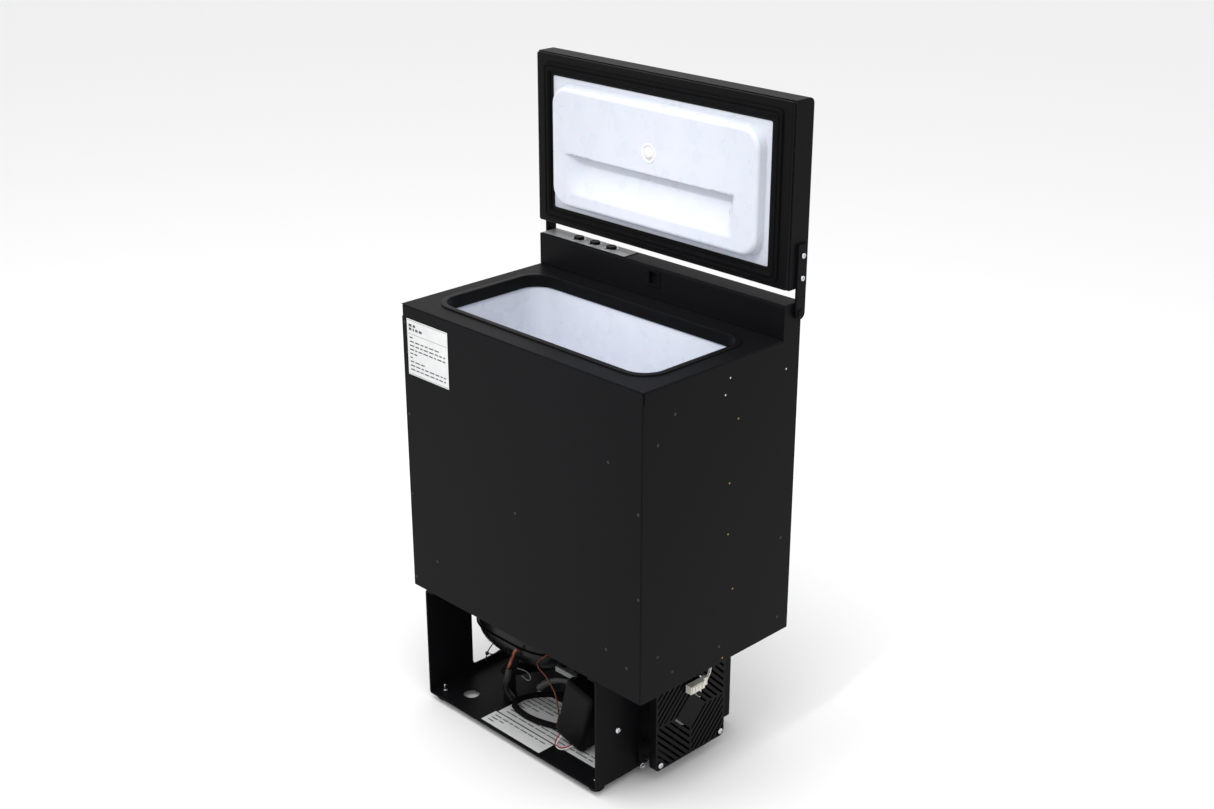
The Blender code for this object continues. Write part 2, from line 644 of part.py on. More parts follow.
def compressor_mounts():
    """Rubber grommets between the tray and the plate, with a neck through the plate."""
    low = TRAY_FLOOR + TOUCH
    under = PLATE_BOTTOM - TOUCH
    neck = MOUNT_RADIUS * 0.6
    profile = [(MOUNT_RADIUS, low), (MOUNT_RADIUS, low + 0.006), (MOUNT_RADIUS * 0.8, low + 0.012),
               (MOUNT_RADIUS * 0.8, under - 0.006), (MOUNT_RADIUS, under), (neck, under),
               (neck, PLATE_TOP)]
    for i, (x, y) in enumerate(mount_places(), 1):
        add_object(f"compressor_mount_{i}", turned(profile, sides=16), "black_rubber", place=(x, y, 0))


COVER_BOTTOM = PLATE_TOP + 0.020


def terminal_cover():
    """A clip-on box over the compressor's electrical pins, on its right side."""
    low_x = SHELL_X + COMPRESSOR_LENGTH / 2 + TOUCH
    low = (low_x, SHELL_Y - 0.026, COVER_BOTTOM)
    high = (low_x + 0.026, SHELL_Y + 0.026, COVER_BOTTOM + 0.046)
    bevel(add_object("terminal_cover", block(low, high), "black_plastic"), 0.003)


UNIT_LEAN = 14.0             # degrees, the electronic unit against the bay's right side
UNIT_SIZE = (0.048, 0.030, 0.088)
UNIT_X = 0.040
UNIT_Y = FRONT + 0.052


def electronic_unit():
    """The motor controller, standing on its lower edge and leaning to the right."""
    half_x, half_y = UNIT_SIZE[0] / 2, UNIT_SIZE[1] / 2
    bm = block((-half_x, -half_y, 0), (half_x, half_y, UNIT_SIZE[2]))
    lean = math.radians(UNIT_LEAN)
    lift = half_x * math.sin(lean)
    unit = add_object("electronic_unit", bm, "black_plastic",
                      place=(UNIT_X, UNIT_Y, TRAY_FLOOR + lift + 2 * TOUCH))
    unit.rotation_euler = (0, lean, 0)
    bevel(unit, 0.006, 3)


def condenser_left():
    return BASE_RIGHT - TRAY_SHEET - CONDENSER_GAP - CONDENSER_THICKNESS


def condenser_core():
    """Finned condenser behind the fan, with its close fins as one block."""
    half = FAN_SIZE / 2
    left = condenser_left()
    add_object("condenser_core",
               block((left, FAN_Y - half, FAN_Z - half + 0.004),
                     (left + CONDENSER_THICKNESS, FAN_Y + half, FAN_Z + half)), "aluminium")


DRIER_X = 0.030
DRIER_Y = FRONT + 0.205
DRIER_RADIUS = 0.010
DRIER_LENGTH = 0.066
DRIER_BOTTOM = TRAY_FLOOR + 0.038
LINE_RADIUS = 0.0030
CAPILLARY_RADIUS = 0.0011


def filter_drier():
    profile = [(LINE_RADIUS * 1.6, 0), (DRIER_RADIUS, 0.008), (DRIER_RADIUS, DRIER_LENGTH - 0.010),
               (CAPILLARY_RADIUS * 3, DRIER_LENGTH)]
    add_object("filter_drier", turned(profile, sides=16), "copper",
               place=(DRIER_X, DRIER_Y, DRIER_BOTTOM))


def route(points):
    """Points given as X, Y from the front and Z from the floor."""
    return [(x, FRONT + y, z) for x, y, z in points]


def discharge_line():
    """Hot gas from the compressor's right side to the top of the condenser."""
    start = SHELL_X + COMPRESSOR_LENGTH / 2 + 0.002
    end = condenser_left() - TOUCH
    high = PLATE_TOP + 0.050
    tube("discharge_line",
         route([(start, 0.158, high), (start + 0.015, 0.158, high), (start + 0.042, 0.162, high + 0.012),
                (end - 0.025, 0.152, high + 0.010), (end - 0.008, 0.147, high + 0.008),
                (end, 0.147, high + 0.008)]), LINE_RADIUS, "copper", 6 * LINE_RADIUS)


def liquid_line():
    """From the bottom of the condenser to the drier."""
    start = condenser_left() - TOUCH
    low = TRAY_FLOOR + 0.014
    end = DRIER_BOTTOM - TOUCH
    y = DRIER_Y - FRONT
    tube("liquid_line",
         route([(start, 0.175, low), (start - 0.016, 0.175, low), (DRIER_X + 0.026, y - 0.010, low),
                (DRIER_X + 0.009, y, low + 0.003), (DRIER_X, y, low + 0.016), (DRIER_X, y, end)]),
         LINE_RADIUS, "copper", 6 * LINE_RADIUS)


def suction_line():
    """Cold gas from the evaporator, down through the cabinet's bottom to the compressor."""
    start = SHELL_X + COMPRESSOR_LENGTH / 2 + 0.002
    low = PLATE_TOP + 0.018
    x, y = LINE_HOLES[0]
    tube("suction_line",
         route([(start, 0.156, low), (start + 0.014, 0.158, low),
                (x - 0.006, y + 0.006, low + 0.012),
                (x, y, BOTTOM - 0.030), (x, y, BOTTOM + FLOOR_INSULATION * 0.6)]),
         LINE_RADIUS, "copper", 6 * LINE_RADIUS)


def capillary_tube():
    """From the drier, round the bay in one loose loop, and up into the foam."""
    top = DRIER_BOTTOM + DRIER_LENGTH + TOUCH
    x, y = LINE_HOLES[1]
    tube("capillary_tube",
         route([(DRIER_X, DRIER_Y - FRONT, top), (DRIER_X, DRIER_Y - FRONT, top + 0.004),
                (DRIER_X - 0.004, DRIER_Y - FRONT - 0.010, top + 0.014),
                (0.012, 0.180, BOTTOM - 0.025), (0.012, 0.140, BOTTOM - 0.024),
                (0.012, 0.100, BOTTOM - 0.024),
                (-0.010, 0.066, BOTTOM - 0.044), (-0.024, 0.047, BOTTOM - 0.060),
                (-0.0088, 0.046, BOTTOM - 0.0695), (0.009, 0.046, BOTTOM - 0.087),
                (0.015, 0.047, BOTTOM - 0.118), (0.011, 0.046, BOTTOM - 0.136),
                (0.015, 0.058, BOTTOM - 0.128), (0.018, 0.084, BOTTOM - 0.112),
                (0.030, 0.120, BOTTOM - 0.090), (0.040, 0.178, BOTTOM - 0.060),
                (x, y + 0.004, BOTTOM - 0.035), (x, y, BOTTOM - 0.012),
                (x, y, BOTTOM + FLOOR_INSULATION * 0.6)]), CAPILLARY_RADIUS, "copper", 10 * CAPILLARY_RADIUS)


def process_stub():
    """The short crimped tube that the compressor was charged through."""
    front = SHELL_Y - COMPRESSOR_DEPTH / 2
    tube("process_stub",
         [(SHELL_X + 0.0305, front - 0.0035, PLATE_TOP + 0.050),
          (SHELL_X + 0.029, front - 0.006, PLATE_TOP + 0.047),
          (SHELL_X + 0.022, front - 0.0055, PLATE_TOP + 0.033),
          (SHELL_X + 0.015, front - 0.005, PLATE_TOP + 0.018)], 0.0024, "copper", 0.006)


def wiring_loom():
    """Sleeved wires from the electronic unit, over the tray's floor, up into the terminal cover."""
    radius = 0.004
    floor = TRAY_FLOOR + radius + 0.001
    start = UNIT_X - UNIT_SIZE[0] / 2 - 0.004
    cover = SHELL_X + COMPRESSOR_LENGTH / 2 + 0.013
    end = COVER_BOTTOM - TOUCH
    tube("wiring_loom",
         route([(start, 0.056, floor), (0.002, 0.0545, floor), (-0.013, 0.049, floor),
                (-0.033, 0.0445, floor), (-0.052, 0.0447, floor), (-0.070, 0.0492, floor),
                (-0.0765, 0.057, floor), (-0.077, 0.068, floor), (-0.071, 0.084, floor),
                (-0.056, 0.100, floor + 0.001), (-0.034, 0.110, floor + 0.005),
                (cover - 0.012, 0.112, floor + 0.016), (cover, 0.112, end - 0.012), (cover, 0.112, end)]),
         radius, "black_rubber", 0.009)


# ---- Fan ---------------------------------------------------------------------------------------
def fan_square(start, end, size=FAN_SIZE, radius=0.006):
    half = size / 2
    return prism(rounded((FAN_Y - half, FAN_Z - half), (FAN_Y + half, FAN_Z + half), radius, 3),
                 "X", start, end)


def fan_frame():
    """Open-flange frame: two square flanges, a round barrel, and a hub with a pin on three struts."""
    frame = add_object("fan_frame", fan_square(FAN_INNER, FAN_INNER + FAN_FLANGE), "black_plastic")
    combine(frame, "UNION", fan_square(FAN_OUTER - FAN_FLANGE, FAN_OUTER))
    overlap = FAN_FLANGE / 4
    combine(frame, "UNION", cylinder("X", (FAN_Y, FAN_Z), FAN_BORE + FAN_BARREL, FAN_INNER + overlap,
                                     FAN_OUTER - overlap, 48))
    combine(frame, "DIFFERENCE", cylinder("X", (FAN_Y, FAN_Z), FAN_BORE, FAN_INNER - 0.001,
                                          FAN_OUTER + 0.001, 48))
    for place in fan_screw_places():
        combine(frame, "DIFFERENCE", cylinder("X", place, FAN_SCREW_RADIUS + SCREW_CLEARANCE,
                                              FAN_INNER - 0.001, FAN_OUTER + 0.001, 12))
    strut_low = FAN_OUTER - 0.0035
    strut_end = FAN_BORE + FAN_BARREL / 2
    for i in range(3):
        bm = block((strut_low, -0.0022, FAN_HUB * 0.6), (FAN_OUTER - 0.0005, 0.0022, strut_end))
        bmesh.ops.rotate(bm, verts=bm.verts, cent=(0, 0, 0),
                         matrix=Matrix.Rotation(math.radians(30 + 120 * i), 3, "X"))
        combine(frame, "UNION", bm, place=(0, FAN_Y, FAN_Z))
    combine(frame, "UNION", cylinder("X", (FAN_Y, FAN_Z), FAN_HUB, FAN_OUTER - 0.004, FAN_OUTER, 32))
    combine(frame, "UNION", cylinder("X", (FAN_Y, FAN_Z), FAN_PIN, FAN_INNER + 0.006, FAN_OUTER - 0.002))


def fan_rotor():
    """Hub and flat leaning blades. Its origin is on the fan's axis."""
    back = FAN_INNER + 0.002
    front = FAN_OUTER - 0.004 - TOUCH
    depth = front - back
    rotor = add_object("fan_rotor", cylinder("X", (0, 0), FAN_HUB, 0, depth, 32), "black_plastic",
                       place=(back, FAN_Y, FAN_Z))
    lean = math.radians(BLADE_LEAN)
    half_chord = min(BLADE_CHORD, depth * 0.84 / math.sin(lean)) / 2
    end = math.sqrt((FAN_BORE - BLADE_CLEARANCE) ** 2 - (half_chord * math.cos(lean)) ** 2) - 0.0005
    half_sheet = BLADE_SHEET / 2
    for i in range(BLADES):
        blade = block((-half_sheet, -half_chord, FAN_HUB * 0.8), (half_sheet, half_chord, end))
        place = (Matrix.Rotation(2 * math.pi * i / BLADES, 4, "X")
                 @ Matrix.Translation((depth / 2, 0, 0)) @ Matrix.Rotation(lean, 4, "Z"))
        bmesh.ops.transform(blade, matrix=place, verts=blade.verts)
        combine(rotor, "UNION", blade, place=(back, FAN_Y, FAN_Z))
    combine(rotor, "DIFFERENCE", cylinder("X", (FAN_Y, FAN_Z), FAN_PIN + RUNNING_CLEARANCE,
                                          FAN_INNER + 0.005, FAN_OUTER))


def guard_slots():
    """One mesh of all the slots between the guard's diamond bars, as separate bodies."""
    reach = FAN_SIZE / 2 - GUARD_BORDER
    rib = GUARD_RIB / 2
    bm = bmesh.new()
    inner = GUARD_PLATE
    while inner < 2 * reach - 2 * rib:
        outer = inner + GUARD_PITCH - GUARD_BAR * math.sqrt(2)
        for corner in slot_outline(inner, outer, rib, reach):
            for turn_y, turn_z in ((1, 1), (1, -1), (-1, -1), (-1, 1)):
                loops = [[bm.verts.new((x, FAN_Y + turn_y * a, FAN_Z + turn_z * b)) for a, b in corner]
                         for x in (GUARD_INNER - 0.001, GUARD_OUTER + 0.001)]
                count = len(corner)
                for i in range(count):
                    j = (i + 1) % count
                    bm.faces.new((loops[0][i], loops[0][j], loops[1][j], loops[1][i]))
                bm.faces.new(loops[0])
                bm.faces.new(loops[1])
        inner += GUARD_PITCH
    return bm


def slot_outline(inner, outer, rib, reach):
    """The part of one diamond ring that lies in a quadrant, between the ribs and the border."""
    def on_ring(ring, low, high):
        start = max(low, ring - high)
        end = min(high, ring - low)
        return (start, ring - start), (end, ring - end)

    if inner >= 2 * reach - 0.004:
        return []
    near_a, near_b = on_ring(inner, rib, reach)
    if outer >= 2 * reach:
        return [[near_a, near_b, (reach, reach)]]
    far_a, far_b = on_ring(outer, rib, reach)
    points = [near_a, near_b]
    if inner < rib + reach < outer:
        points.append((reach, rib))
    points += [far_b, far_a]
    if inner < rib + reach < outer:
        points.append((rib, reach))
    return [points]


def fan_guard():
    guard = add_object("fan_guard", fan_square(GUARD_INNER, GUARD_OUTER), "black_plastic")
    combine(guard, "DIFFERENCE", guard_slots())
    corner = 0.0075
    for y, z in fan_screw_places():
        combine(guard, "UNION", cylinder("X", (y, z), corner, GUARD_INNER, GUARD_OUTER - 0.001, 20))
    for place in fan_screw_places():
        combine(guard, "DIFFERENCE", cylinder("X", place, FAN_SCREW_RADIUS + SCREW_CLEARANCE,
                                              GUARD_INNER - 0.001, GUARD_OUTER + 0.001, 12))


def pan_head_screw(name, x, place, head, height, shank, length, finish="zinc_steel", turn=1, parent=None):
    """A screw along X with a domed head. The turn is 1 when its head looks to +X, -1 to -X."""
    profile = [(shank, -length), (shank, 0), (head, 0), (head, height * 0.45), (head * 0.62, height)]
    loops = [(radius, turn * level) for radius, level in profile]
    return add_object(name, turned(loops, "X", 16), finish, parent=parent, place=(x, *place))


def fan_screws():
    for i, place in enumerate(fan_screw_places(), 1):
        start = GUARD_OUTER + TOUCH
        pan_head_screw(f"fan_screw_{i}", start, place, 0.0038, 0.0026, FAN_SCREW_RADIUS,
                       start - (BASE_RIGHT - TRAY_SHEET - 0.0045))


def bracket_screw():
    pan_head_screw("bracket_screw", BASE_RIGHT + TOUCH, BRACKET_SCREW, 0.0042, 0.0028,
                   BRACKET_SCREW_RADIUS, 0.008)


# ---- Controls and label ------------------------------------------------------------------------
def control_strip():
    """A printed cover strip on the rail, with a hole for each button."""
    left = -INSIDE + TOUCH
    low = RAIL_TOP + TOUCH
    strip = add_object("control_strip", block((left, RAIL_FACE + 0.003, low),
                                              (left + STRIP_LENGTH, BACK - 0.002, low + STRIP_THICKNESS)),
                       "grey_strip")
    buttons, y = rail_places()
    for x in buttons:
        combine(strip, "DIFFERENCE", cylinder("Z", (x, y), BUTTON_RADIUS + BUTTON_CLEARANCE,
                                              low - SHEET, low + 2 * SHEET))


def buttons():
    """Three push buttons. Each origin is on the axis that the button travels along."""
    places, y = rail_places()
    top = RAIL_TOP + TOUCH + STRIP_THICKNESS + BUTTON_PROUD
    skirt = RAIL_TOP - 2 * SHEET
    profile = [(0.0022, skirt - BUTTON_STEM - top), (0.0022, skirt - top), (BUTTON_RADIUS, skirt - top),
               (BUTTON_RADIUS, -0.0008), (BUTTON_RADIUS - 0.0008, 0)]
    for i, x in enumerate(places, 1):
        add_object(f"button_{i}", turned(profile, sides=24), "black_plastic", place=(x, y, top))


def control_board():
    """The board under the buttons, held between the rail's face and the back panel."""
    places, _ = rail_places()
    top = RAIL_TOP - 2 * SHEET - BUTTON_STEM - BUTTON_TRAVEL - TOUCH
    add_object("control_board",
               block((places[0] - 0.014, RAIL_FACE + SHEET + TOUCH, top - 0.0016),
                     (places[-1] + 0.014, BACK - SHEET - TOUCH, top)), "board")


def lid_switch():
    """A square housing set in the rail's face. A magnet in the lid works it."""
    z = TOP + SWITCH_RISE
    half = SWITCH_SIZE / 2
    body = half - 0.001
    face = RAIL_FACE - TOUCH
    switch = add_object("lid_switch", block((-half, face - 0.001, z - half), (half, face, z + half)),
                        "black_plastic")
    combine(switch, "UNION", block((-body, face - 0.0005, z - body), (body, face + 0.009, z + body)))
    well = body - 0.0015
    combine(switch, "DIFFERENCE", block((-well, face - 0.002, z - well), (well, face + 0.004, z + well)))


def rating_label():
    left = -SIDE + LABEL_FROM_LEFT
    top = TOP - LABEL_FROM_TOP
    add_object("rating_label", block((left, FRONT - LABEL_PROUD, top - LABEL_HEIGHT),
                                     (left + LABEL_WIDTH, FRONT - TOUCH, top)), "label_paper")


# ---- Lid, modelled closed about the hinge axis --------------------------------------------------
def lid_outer_shell(hinge):
    """A folded steel pan with a rolled front edge."""
    roll = 0.007
    outline = [(LID_FRONT, PAN_RIM), (LID_REAR, PAN_RIM), (LID_REAR, PAN_TOP)]
    outline += arc((LID_FRONT + roll, PAN_TOP - roll), roll, 90, 180, 4)
    pan = add_object("lid_outer_shell", prism(outline, "X", -LID_SIDE, LID_SIDE), "black_powder_coat",
                     parent=hinge)
    inner_roll = roll - SHEET
    hollow = [(LID_FRONT + SHEET, PAN_RIM - SHEET), (LID_REAR - SHEET, PAN_RIM - SHEET),
              (LID_REAR - SHEET, PAN_TOP - SHEET)]
    hollow += arc((LID_FRONT + roll, PAN_TOP - roll), inner_roll, 90, 180, 4)
    combine(pan, "DIFFERENCE", prism(hollow, "X", -LID_SIDE + SHEET, LID_SIDE - SHEET), parent=hinge)
    for reach in ARM_SCREWS:
        for side in (-1, 1):
            hole = cylinder("X", (-reach, 0), ARM_SCREW_RADIUS + SCREW_CLEARANCE,
                            side * (LID_SIDE - 3 * SHEET), side * (LID_SIDE + SHEET), 12)
            combine(pan, "DIFFERENCE", hole, parent=hinge)


def plug_loop(inset, height):
    """A loop round the plug, drawn in by the inset."""
    return offset_loop(PLUG_HALF, PLUG_FRONT, PLUG_REAR, PLUG_RADIUS, -inset, height)


PLUG_FACE = LID_FRAME_TOP - LINER_WALL - PLUG_HEIGHT
PLUG_DRAFT = 0.002
PLUG_EDGE = 0.003


def plug_solid(shrink, top):
    """The plug as a closed body, thinner by the shrink all round."""
    face = PLUG_FACE + shrink
    loops = [plug_loop(shrink, top), plug_loop(shrink + PLUG_DRAFT, face + PLUG_EDGE),
             plug_loop(shrink + PLUG_DRAFT + PLUG_EDGE * 0.3, face + PLUG_EDGE * 0.3),
             plug_loop(shrink + PLUG_DRAFT + PLUG_EDGE, face)]
    return lofted(loops)


def scoop(grow):
    """The finger scoop: deep under its overhanging edge, fading out towards the hinge."""
    deep = -SCOOP_FROM_HINGE
    below = PLUG_FACE - 0.004
    run = SCOOP_LENGTH + 0.004 * SCOOP_LENGTH / SCOOP_DEPTH
    outline = [(deep - grow, below), (deep + run + grow, below),
               (deep + 0.006 + grow, PLUG_FACE + SCOOP_DEPTH + grow),
               (deep - grow, PLUG_FACE + SCOOP_DEPTH + grow)]
    return prism(outline, "X", SCOOP_LEFT - grow, SCOOP_RIGHT + grow)


def lid_inner_liner(hinge):
    """White formed sheet: a flange under the lid frame, and the raised plug with its scoop."""
    top = LID_FRAME_TOP
    inset = LID_FRAME_MARGIN + LID_FRAME_LIP + TOUCH
    flange = lofted([pan_edge_loop(inset, top - LINER_WALL), pan_edge_loop(inset, top)])
    liner = add_object("lid_inner_liner", flange, "white_liner", parent=hinge)
    combine(liner, "UNION", plug_solid(0, top - LINER_WALL / 2), parent=hinge)
    core = add_object("lid_liner_core", plug_solid(LINER_WALL, top + LINER_WALL), parent=hinge)
    combine(core, "DIFFERENCE", scoop(LINER_WALL), parent=hinge)
    modifier = liner.modifiers.new("Hollow", "BOOLEAN")
    modifier.operation = "DIFFERENCE"
    modifier.solver = "EXACT"
    modifier.object = core
    combine(liner, "DIFFERENCE", scoop(0), parent=hinge)


def lid_foam(hinge):
    """Foam that fills the pan and the back of the plug."""
    room = SHEET + 2 * TOUCH
    low = LID_FRAME_TOP + TOUCH
    roll = 0.007
    outline = [(LID_FRONT + room, low), (LID_REAR - room, low), (LID_REAR - room, PAN_TOP - room)]
    outline += arc((LID_FRONT + roll, PAN_TOP - roll), roll - room, 90, 180, 4)
    foam = add_object("lid_foam", prism(outline, "X", -LID_SIDE + room, LID_SIDE - room), "foam",
                      parent=hinge)
    plug = add_object("lid_foam_plug", plug_solid(LINER_WALL + TOUCH, low + LINER_WALL), parent=hinge)
    combine(plug, "DIFFERENCE", scoop(LINER_WALL + TOUCH), parent=hinge)
    modifier = foam.modifiers.new("Plug", "BOOLEAN")
    modifier.operation = "UNION"
    modifier.solver = "EXACT"
    modifier.object = plug
    combine(foam, "DIFFERENCE", scoop(LINER_WALL + TOUCH), parent=hinge)


LID_CORNER = 0.002


def pan_edge_loop(inset, height):
    """A loop inside the pan's edge, with nearly square corners."""
    outline = rounded((-LID_SIDE + inset, LID_FRONT + inset), (LID_SIDE - inset, LID_REAR - inset),
                      LID_CORNER, 2)
    return [Vector((x, y, height)) for x, y in outline]


def window_loop(offset, height):
    """A loop round the frame's window, grown by the offset, with nearly square corners."""
    grow = LID_WINDOW_GAP + offset
    outline = rounded((-PLUG_HALF - grow, PLUG_FRONT - grow), (PLUG_HALF + grow, PLUG_REAR + grow),
                      LID_CORNER, 2)
    return [Vector((x, y, height)) for x, y in outline]


def lid_frame(hinge):
    """Black frame over the liner's flange, with a lip round it. It holds the gasket."""
    rim = LID_FRAME_TOP
    top = rim - LINER_WALL - TOUCH
    face = LID_FRAME_FACE
    edge = 0.0008
    margin = LID_FRAME_MARGIN
    lip = margin + LID_FRAME_LIP
    loops = [pan_edge_loop(margin, rim), pan_edge_loop(margin, face + edge),
             pan_edge_loop(margin + edge, face), window_loop(edge, face), window_loop(0, face + edge),
             window_loop(0, top), pan_edge_loop(lip, top), pan_edge_loop(lip, rim)]
    add_object("lid_frame", lofted(loops, ring=True), "black_plastic", parent=hinge)


def lid_gasket(hinge):
    """Magnetic bulb gasket on the frame. It lands on the top panel and the trim."""
    top = LID_FRAME_FACE - TOUCH
    face = top - GASKET_HEIGHT
    start = GASKET_INSET
    end = start + GASKET_WIDTH
    edge = GASKET_HEIGHT * 0.4
    loops = [window_loop(end, top), window_loop(end, face + edge), window_loop(end - edge, face),
             window_loop(start + edge, face), window_loop(start, face + edge), window_loop(start, top)]
    add_object("lid_gasket", lofted(loops, ring=True), "black_rubber", parent=hinge)


def lamp_lens(hinge):
    """Round diffuser of the tub's lamp, on the plug's face."""
    profile = [(LENS_RADIUS, 0), (LENS_RADIUS, -0.0012), (LENS_RADIUS * 0.8, -0.0020),
               (LENS_RADIUS * 0.45, -0.0024)]
    add_object("lamp_lens", turned(profile, sides=24), "clear_lens", parent=hinge,
               place=(0, -LENS_FROM_HINGE, PLUG_FACE - TOUCH))


def hinge_arms(hinge):
    """Flat steel arms outside the side panels, round at the pivot end."""
    half = ARM_WIDTH / 2
    outline = arc((0, 0), half, -90, 90, 8) + [(-ARM_REACH, half), (-ARM_REACH, -half)]
    for name, side in (("hinge_arm_left", -1), ("hinge_arm_right", 1)):
        arm = add_object(name, prism(outline, "X", side * ARM_INNER, side * ARM_OUTER),
                         "black_powder_coat", parent=hinge)
        ends = (side * (ARM_INNER - ARM_SHEET), side * (ARM_OUTER + ARM_SHEET))
        combine(arm, "DIFFERENCE", cylinder("X", (0, 0), PIVOT_RADIUS + RUNNING_CLEARANCE, *ends),
                parent=hinge)
        for reach in ARM_SCREWS:
            combine(arm, "DIFFERENCE", cylinder("X", (-reach, 0), ARM_SCREW_RADIUS + SCREW_CLEARANCE,
                                                *ends, 12), parent=hinge)


def arm_screws(hinge):
    for side, word in ((-1, "left"), (1, "right")):
        for i, reach in enumerate(ARM_SCREWS, 1):
            start = ARM_OUTER + TOUCH
            pan_head_screw(f"arm_screw_{word}_{i}", side * start, (-reach, 0), 0.0032, 0.0020,
                           ARM_SCREW_RADIUS, start - (LID_SIDE - SHEET), turn=side, parent=hinge)


def hinge_pivots():
    """Pins through the arm and the side panel, with a collar between the two. They stay with the cabinet."""
    for word, side in (("left", -1), ("right", 1)):
        start = ARM_OUTER + TOUCH
        collar = (SIDE + TOUCH - start, ARM_INNER - TOUCH - start)
        profile = [(PIVOT_RADIUS, SIDE - start - 0.008), (PIVOT_RADIUS, collar[0]), (0.0048, collar[0]),
                   (0.0048, collar[1]), (PIVOT_RADIUS, collar[1]), (PIVOT_RADIUS, 0), (0.0048, 0),
                   (0.0048, 0.0008), (0.0040, 0.0015)]
        loops = [(radius, side * level) for radius, level in profile]
        add_object(f"hinge_pivot_{word}", turned(loops, "X", 24), "black_powder_coat",
                   place=(side * start, PIVOT_Y, PIVOT_Z))


def lid():
    hinge = bpy.data.objects.new("lid_hinge_axis", None)
    bpy.context.scene.collection.objects.link(hinge)
    hinge.location = (0, PIVOT_Y, PIVOT_Z)
    hinge.rotation_euler = (-math.radians(LID_OPEN_ANGLE), 0, 0)
    lid_outer_shell(hinge)
    lid_foam(hinge)
    lid_inner_liner(hinge)
    lid_frame(hinge)
    lid_gasket(hinge)
    lamp_lens(hinge)
    hinge_arms(hinge)
    arm_screws(hinge)


def build():
    clear_scene()
    side_panels()
    front_and_back_panels()
    bottom_panel()
    top_panel()
    rear_rail()
    inner_liner()
    opening_trim()
    evaporator_plate()
    foam_insulation()
    base_tray()
    feet()
    compressor_shell()
    compressor_plate()
    compressor_mounts()
    terminal_cover()
    electronic_unit()
    condenser_core()
    filter_drier()
    discharge_line()
    liquid_line()
    suction_line()
    capillary_tube()
    process_stub()
    wiring_loom()
    fan_frame()
    fan_rotor()
    fan_guard()
    fan_screws()
    bracket_screw()
    control_strip()
    buttons()
    control_board()
    lid_switch()
    rating_label()
    hinge_pivots()
    lid()


build()
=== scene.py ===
# %% [markdown]
# # A top-opening compressor freezer with its lid open
# The object is a folded steel box with a white tub, on an open tray that holds the compressor set.
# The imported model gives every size. This script adds the finishes and the fine shapes around it.

# %% Load the frame
import json
import math

import bmesh
import bpy
from mathutils import Matrix, Vector


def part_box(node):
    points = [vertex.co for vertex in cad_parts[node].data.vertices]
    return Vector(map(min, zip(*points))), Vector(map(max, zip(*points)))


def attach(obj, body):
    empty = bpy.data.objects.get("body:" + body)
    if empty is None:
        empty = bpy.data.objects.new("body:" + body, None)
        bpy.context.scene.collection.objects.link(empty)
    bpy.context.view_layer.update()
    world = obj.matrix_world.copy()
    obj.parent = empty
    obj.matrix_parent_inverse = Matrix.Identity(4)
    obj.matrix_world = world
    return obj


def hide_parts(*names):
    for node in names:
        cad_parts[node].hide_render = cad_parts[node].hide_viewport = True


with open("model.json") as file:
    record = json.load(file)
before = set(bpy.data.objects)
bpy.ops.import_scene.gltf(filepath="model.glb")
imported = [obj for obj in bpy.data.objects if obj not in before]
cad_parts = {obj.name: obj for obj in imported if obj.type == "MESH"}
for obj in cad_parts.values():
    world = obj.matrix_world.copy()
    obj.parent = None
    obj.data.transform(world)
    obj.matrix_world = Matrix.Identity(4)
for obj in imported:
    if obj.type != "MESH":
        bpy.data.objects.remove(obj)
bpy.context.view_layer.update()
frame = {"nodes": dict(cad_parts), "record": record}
print("nodes:", len(frame["nodes"]))

# %% [markdown]
# ## Places
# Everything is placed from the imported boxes. Small things are given in millimetres from one corner
# of the cabinet, as a fitter would measure them: X from the middle, Y back from the front panel,
# and Z up from the bottom panel.

# %% Measure the frame
MM = 0.001
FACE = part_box("front_panel")[0].y
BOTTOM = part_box("front_panel")[0].z
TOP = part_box("top_panel")[1].z
TRAY_FLOOR = -148.0
pin_low, pin_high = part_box("hinge_pivot_right")
PIVOT = Vector((0, (pin_low.y + pin_high.y) / 2, (pin_low.z + pin_high.z) / 2))
LID_OPEN = Matrix.Translation(PIVOT) @ Matrix.Rotation(-math.pi / 2, 4, "X")


def spot(x, y, z):
    """A point given in millimetres from the middle, the front panel and the bottom panel."""
    return Vector((x * MM, FACE + y * MM, BOTTOM + z * MM))


def cabinet_box(node):
    """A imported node's low and high corners, in the same millimetres."""
    return [(corner - spot(0, 0, 0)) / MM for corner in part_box(node)]


print("front face at", round(FACE, 4), "hinge at", tuple(round(v, 4) for v in PIVOT))

# %% [markdown]
# ## Small helpers
# A finish is a node tree on a Principled shader. One function adds a node with its settings and
# links, so each finish below reads as a short list. Colours are written as sRGB hex values.


# %% Helpers for finishes
def srgb(code):
    """A linear colour from an sRGB hex value."""
    values = [int(code[i:i + 2], 16) / 255 for i in (1, 3, 5)]
    return (*[v / 12.92 if v <= 0.04045 else ((v + 0.055) / 1.055) ** 2.4 for v in values], 1.0)


def add_node(tree, kind, links=(), inputs=(), **settings):
    """Adds a node. The settings are its own, and inputs and links are pairs of socket and value."""
    made = tree.nodes.new(kind)
    for name, value in settings.items():
        setattr(made, name, value)
    for socket, value in inputs:
        made.inputs[socket].default_value = value
    for socket, source in links:
        tree.links.new(source, made.inputs[socket])
    return made


def start_finish(name, code, roughness, metallic=0.0, ior=1.5, specular=0.5):
    """A material with its typical values, and its tree, shader and object coordinates."""
    material = bpy.data.materials.new(name)
    material.use_nodes = True
    tree = material.node_tree
    shader = tree.nodes["Principled BSDF"]
    for socket, value in (("Base Color", srgb(code)), ("Roughness", roughness), ("Metallic", metallic),
                          ("IOR", ior), ("Specular IOR Level", specular)):
        shader.inputs[socket].default_value = value
    place = add_node(tree, "ShaderNodeTexCoord").outputs["Object"]
    return material, tree, shader, place


